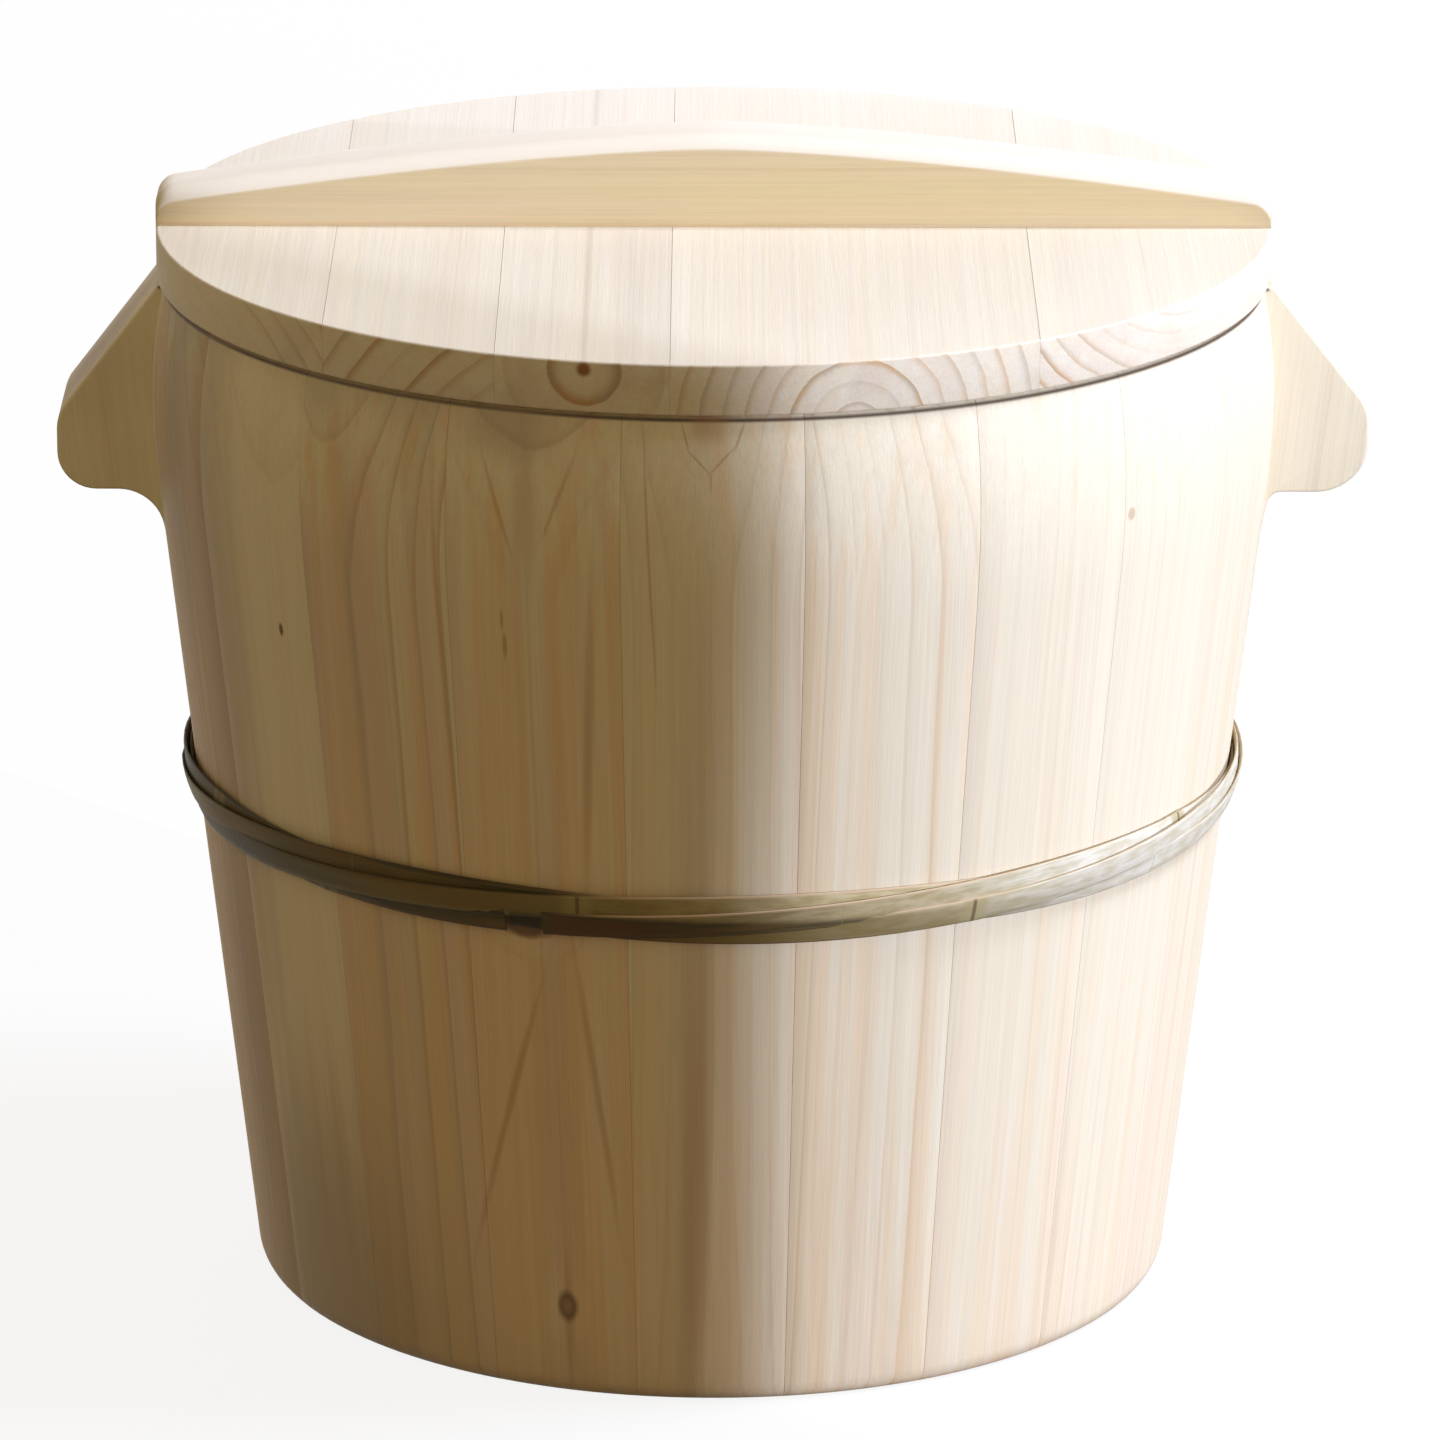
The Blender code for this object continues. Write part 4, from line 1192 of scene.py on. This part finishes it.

# %% [markdown]
# ## The finish of split bamboo
# Every quarter metre a node of the culm crosses the split as a pale ridge with a dark scar. Painted shade
# sits along the edges, where strips press together, and the upper edges at the front get a painted
# highlight. The finish reads its places from an attribute of the strip, so the pattern follows the twist,
# which a flat texture could not do.

# %% Finish the hoop
def bamboo_skin():
    """The skin's colour first, then what lies over it: painted sheen, nodes, bare edges, painted shade
    and painted highlights.

    Along, near and the streaks are in millimetres of the strip. Across and side run from -1 to 1 over its
    width and its thickness. X, y and z are places on the bucket, in metres.
    """
    skin = Finish(bpy.data.materials.new("bamboo_skin"))
    place, culm = skin.attribute("strip")
    along, across, side = skin.parts(place)
    x, y, z = skin.parts(skin.coordinates("Object"))

    def streaks(length, width, seed):
        where = skin.add("CombineXYZ", [along / length, across * (3.7 / width), side * 2.0])
        return skin.noise(where, seed, 2.0, 0.55)

    patch, line, bloom = streaks(46, 4.0, 2.0), streaks(22, 0.35, 5.0), streaks(9, 2.2, 9.0)
    wave = (along * (3 * math.pi / HOOP_ROUND_LENGTH) + HOOP_WAVE_START).math("SINE")
    slow = skin.step(wave * 0.5 + streaks(60, 5.0, 13.0), 0.1, 0.9)
    low = skin.fall(z, HOOP_HEIGHT - 0.0015, HOOP_HEIGHT + 0.0010)

    # The skin, with a red-brown stretch beside the cut ends
    colour = skin.mix(slow, SKIN_DARK, SKIN_OLIVE)
    colour = skin.mix(skin.step(patch, 0.42, 0.68) * 0.6, colour, SKIN_BROWN)
    colour = skin.mix(skin.step(line, 0.35, 0.75) * 0.3, colour, SKIN_LINE)
    red = skin.step(x, -0.0445, -0.040) * skin.fall(x, -0.024, -0.008) * low * skin.fall(y, -0.12, -0.10)
    colour = skin.mix(red * 0.8, colour, SKIN_RED)

    # Painted sheen, more and more towards the right, and further round on the upper strands
    sheen_reach = x + (patch - 0.5) * 0.05 + 0.024 - low * 0.064
    painted_sheen = skin.step(sheen_reach, -0.04, 0.080) * skin.fall(y, -0.01, 0.06)
    fresh = skin.step(bloom, 0.35, 0.65)
    tan, white = skin.mix(fresh, *SHEEN_TAN), skin.mix(fresh, *SHEEN_WHITE)
    pale = skin.mix(skin.step(x, 0.045, 0.105), tan, white)
    colour = skin.mix(painted_sheen * (0.75 + line * 0.25), colour, pale)

    # A node of the culm
    near = culm.math("ABSOLUTE")
    band = skin.fall(near, 2.2, 5.2) * (painted_sheen * 0.45 + 0.3)
    colour = skin.mix(band, colour, NODE_PALE)
    colour = skin.mix(skin.fall(near, 0.25, 0.8) * 0.7, colour, NODE_SCAR)

    # Cut flesh on the edges and on the inside
    edge = across.math("ABSOLUTE")
    bare = skin.step(edge + (line - 0.5) * 0.12, 0.90, 0.98)
    bare = bare.math("MAXIMUM", skin.fall(side, 0.0, 0.2)) * (painted_sheen * 0.6 + 0.3)
    colour = skin.mix(bare, colour, skin.mix(line, *FLESH))

    # Painted shade where strips press together, and a painted highlight where an upper edge stands free
    # at the front
    front = skin.step(x, -0.045, -0.015) * skin.fall(y, -0.08, -0.05)
    crevice_shade = skin.step(edge, 0.80, 0.97) * (1 - front * skin.step(across, -0.2, 0.2))
    crevice_shade = crevice_shade * (1 - skin.step(x, 0.05, 0.10) * 0.85) * 0.8
    colour = skin.mix(crevice_shade, colour, EDGE_SHADE)
    edge_highlight = skin.step(across, 0.70, 0.86) * front * skin.fall(x, 0.045, 0.10) * 0.75
    colour = skin.mix(edge_highlight, colour, EDGE_HIGHLIGHT)

    # Painted shade in the gap between the two cut ends
    away = (x - HOOP_RADIUS * math.cos(HOOP_END_ANGLE)).math("ABSOLUTE")
    gap = skin.fall(away, 0.0036, 0.0050) * skin.fall(y, -0.12, -0.10)
    gap = gap * skin.fall(z, HOOP_HEIGHT - 0.002, HOOP_HEIGHT + 0.0005)
    colour = skin.mix(gap * 0.9, colour, GAP_SHADE)

    rough = 0.52 + bare * 0.15 + (patch - 0.5) * 0.2 + band * 0.1
    height = line * 0.6 + bloom * 0.2 - bare * 0.4
    skin.surface({"Base Color": colour, "Roughness": rough, "Specular IOR Level": 0.1}, height, 0.00015)
    return skin


skin = bamboo_skin()
dress(hoop, skin, "bamboo_hoop", "bucket")
print("hoop finished with", len(skin.tree.nodes), "nodes")

# %% [markdown]
# ## The grate
# Inside, on the ledge, lies a loose grate of fir slats threaded on two bamboo rods. It shows only when
# the lid is off. The slats are strips cut by the grate's circle, like the lid's boards, and bored for
# the rods. The rods are shaved bamboo without its skin.

# %% Shape rods and slats
ROD_RADIUS = 0.0025
ROD_BORE = 0.00025
BORE_OVERRUN = 0.05
SLAT_EDGE = 0.0008
SLAT_COUNT = 7
SLAT_ARC_STEPS = 24
GRATE_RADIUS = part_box("grate_slat_4")[1].y
PIN_PALE = ((0.600, 0.440, 0.220, 1), (0.720, 0.570, 0.340, 1))
PIN_BROWN = (0.480, 0.320, 0.140, 1)


def rod_mesh(name, start, stop, radius, sides=28, edge=0.0004):
    """A round rod along X: circles whose radius is eased at both ends."""
    distance, depth = eased(edge, 3)
    place = np.concatenate([start[0] + distance, stop[0] - distance[::-1]])
    size = radius - np.concatenate([depth, depth[::-1]])
    turn = 2 * math.pi * np.arange(sides) / sides
    y = start[1] + size[:, None] * np.cos(turn)
    z = start[2] + size[:, None] * np.sin(turn)
    return closed_mesh(name, np.stack([np.broadcast_to(place[:, None], y.shape), y, z], axis=2))


def slat_mesh(name, low, high, bottom, top):
    """The slat's plan, raised, with all its edges eased."""
    distance, depth = eased(SLAT_EDGE, 4)
    heights = np.concatenate([bottom + distance, top - distance[::-1]])
    rings = []
    for height, shrink in zip(heights, np.concatenate([depth, depth[::-1]])):
        plan = strip_outline(low + shrink, high - shrink, GRATE_RADIUS - shrink, SLAT_ARC_STEPS)
        rings.append(np.column_stack([plan, np.full(len(plan), height)]))
    return closed_mesh(name, np.array(rings))


def bamboo_pin():
    """Shaved bamboo: fibres along X and browner patches."""
    pin = Finish(bpy.data.materials.new("bamboo_pin"))
    here = pin.coordinates("Object")
    fibre = pin.noise(pin.vector("MULTIPLY", here, (60, 2600, 2600)), 1.0, 2.0)
    patch = pin.noise(pin.vector("MULTIPLY", here, (30, 300, 300)), 4.0, 1.0)
    colour = pin.mix(pin.step(fibre, 0.3, 0.7), *PIN_PALE)
    colour = pin.mix(pin.step(patch, 0.45, 0.75) * 0.5, colour, PIN_BROWN)
    pin.surface({"Base Color": colour, "Roughness": 0.5 + (fibre - 0.5) * 0.2}, fibre, 0.0001)
    return pin


print("grate radius", round(GRATE_RADIUS, 4))

# %% [markdown]
# ## Seven slats on two rods
# Each rod and slat takes its size from its own solid. Every slat is bored for both rods by a Boolean,
# because a round hole through a slat isn't part of any sweep of its outline.

# %% Make the grate
# The least and the most: pith across and depth in mm, ring spacing in mm, tone, warmth
SLAT_LEAST = np.array([-15, 15, 4.0, 0.95, -0.1])
SLAT_MOST = np.array([15, 45, 6.0, 1.05, 0.1])
SLAT_SEED = 70
SLAT_SEED_STEP = 1.37

pin = bamboo_pin()
rods = []
for node in ("grate_rod_front", "grate_rod_back"):
    low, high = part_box(node)
    middle = (low + high) / 2
    start, stop = (low.x, middle.y, middle.z), (high.x, middle.y, middle.z)
    rod = new_piece("bamboo_" + node, rod_mesh("bamboo_" + node, start, stop, ROD_RADIUS))
    dress(rod, pin, node, "grate")
    rods.append((start, stop))
fir_grate = fir("grate_fir", PALE_FIR, WARM_FIR, GOLD_FIR, end_axis=1, roughness=0.66)
for number in range(1, SLAT_COUNT + 1):
    node = f"grate_slat_{number}"
    low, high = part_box(node)
    slat = new_piece("fir_" + node, slat_mesh("fir_" + node, low.x, high.x, low.z, high.z))
    for start, stop in rods:
        first, last = (start[0] - BORE_OVERRUN, *start[1:]), (stop[0] + BORE_OVERRUN, *stop[1:])
        carve(slat, rod_mesh("bore", first, last, ROD_RADIUS + ROD_BORE), "DIFFERENCE")
    figure = SLAT_LEAST + (SLAT_MOST - SLAT_LEAST) * chance.random(len(SLAT_LEAST))
    across, depth, spacing, tone, warmth = figure
    mark_grain(slat, [(1, 0, 0), (0, 0, 1), (0, 1, 0)], ((low.x + high.x) / 2, 0, low.z), (across, depth),
               spacing, tone, warmth, SLAT_SEED + number * SLAT_SEED_STEP)
    dress(slat, fir_grate, node, "grate")
print("slats:", SLAT_COUNT, "rods:", len(rods))

# %% [markdown]
# ## The dowels
# A bamboo dowel sits hidden in each joint between two staves. Its plain solid is right as it is, so it
# only gets the finish of shaved bamboo.

# %% Finish the dowels
dowels = [node for name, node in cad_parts.items() if name.startswith("stave_dowel")]
for dowel in dowels:
    dowel.data.materials.clear()
    dowel.data.materials.append(pin.owner)
print("dowels:", len(dowels))
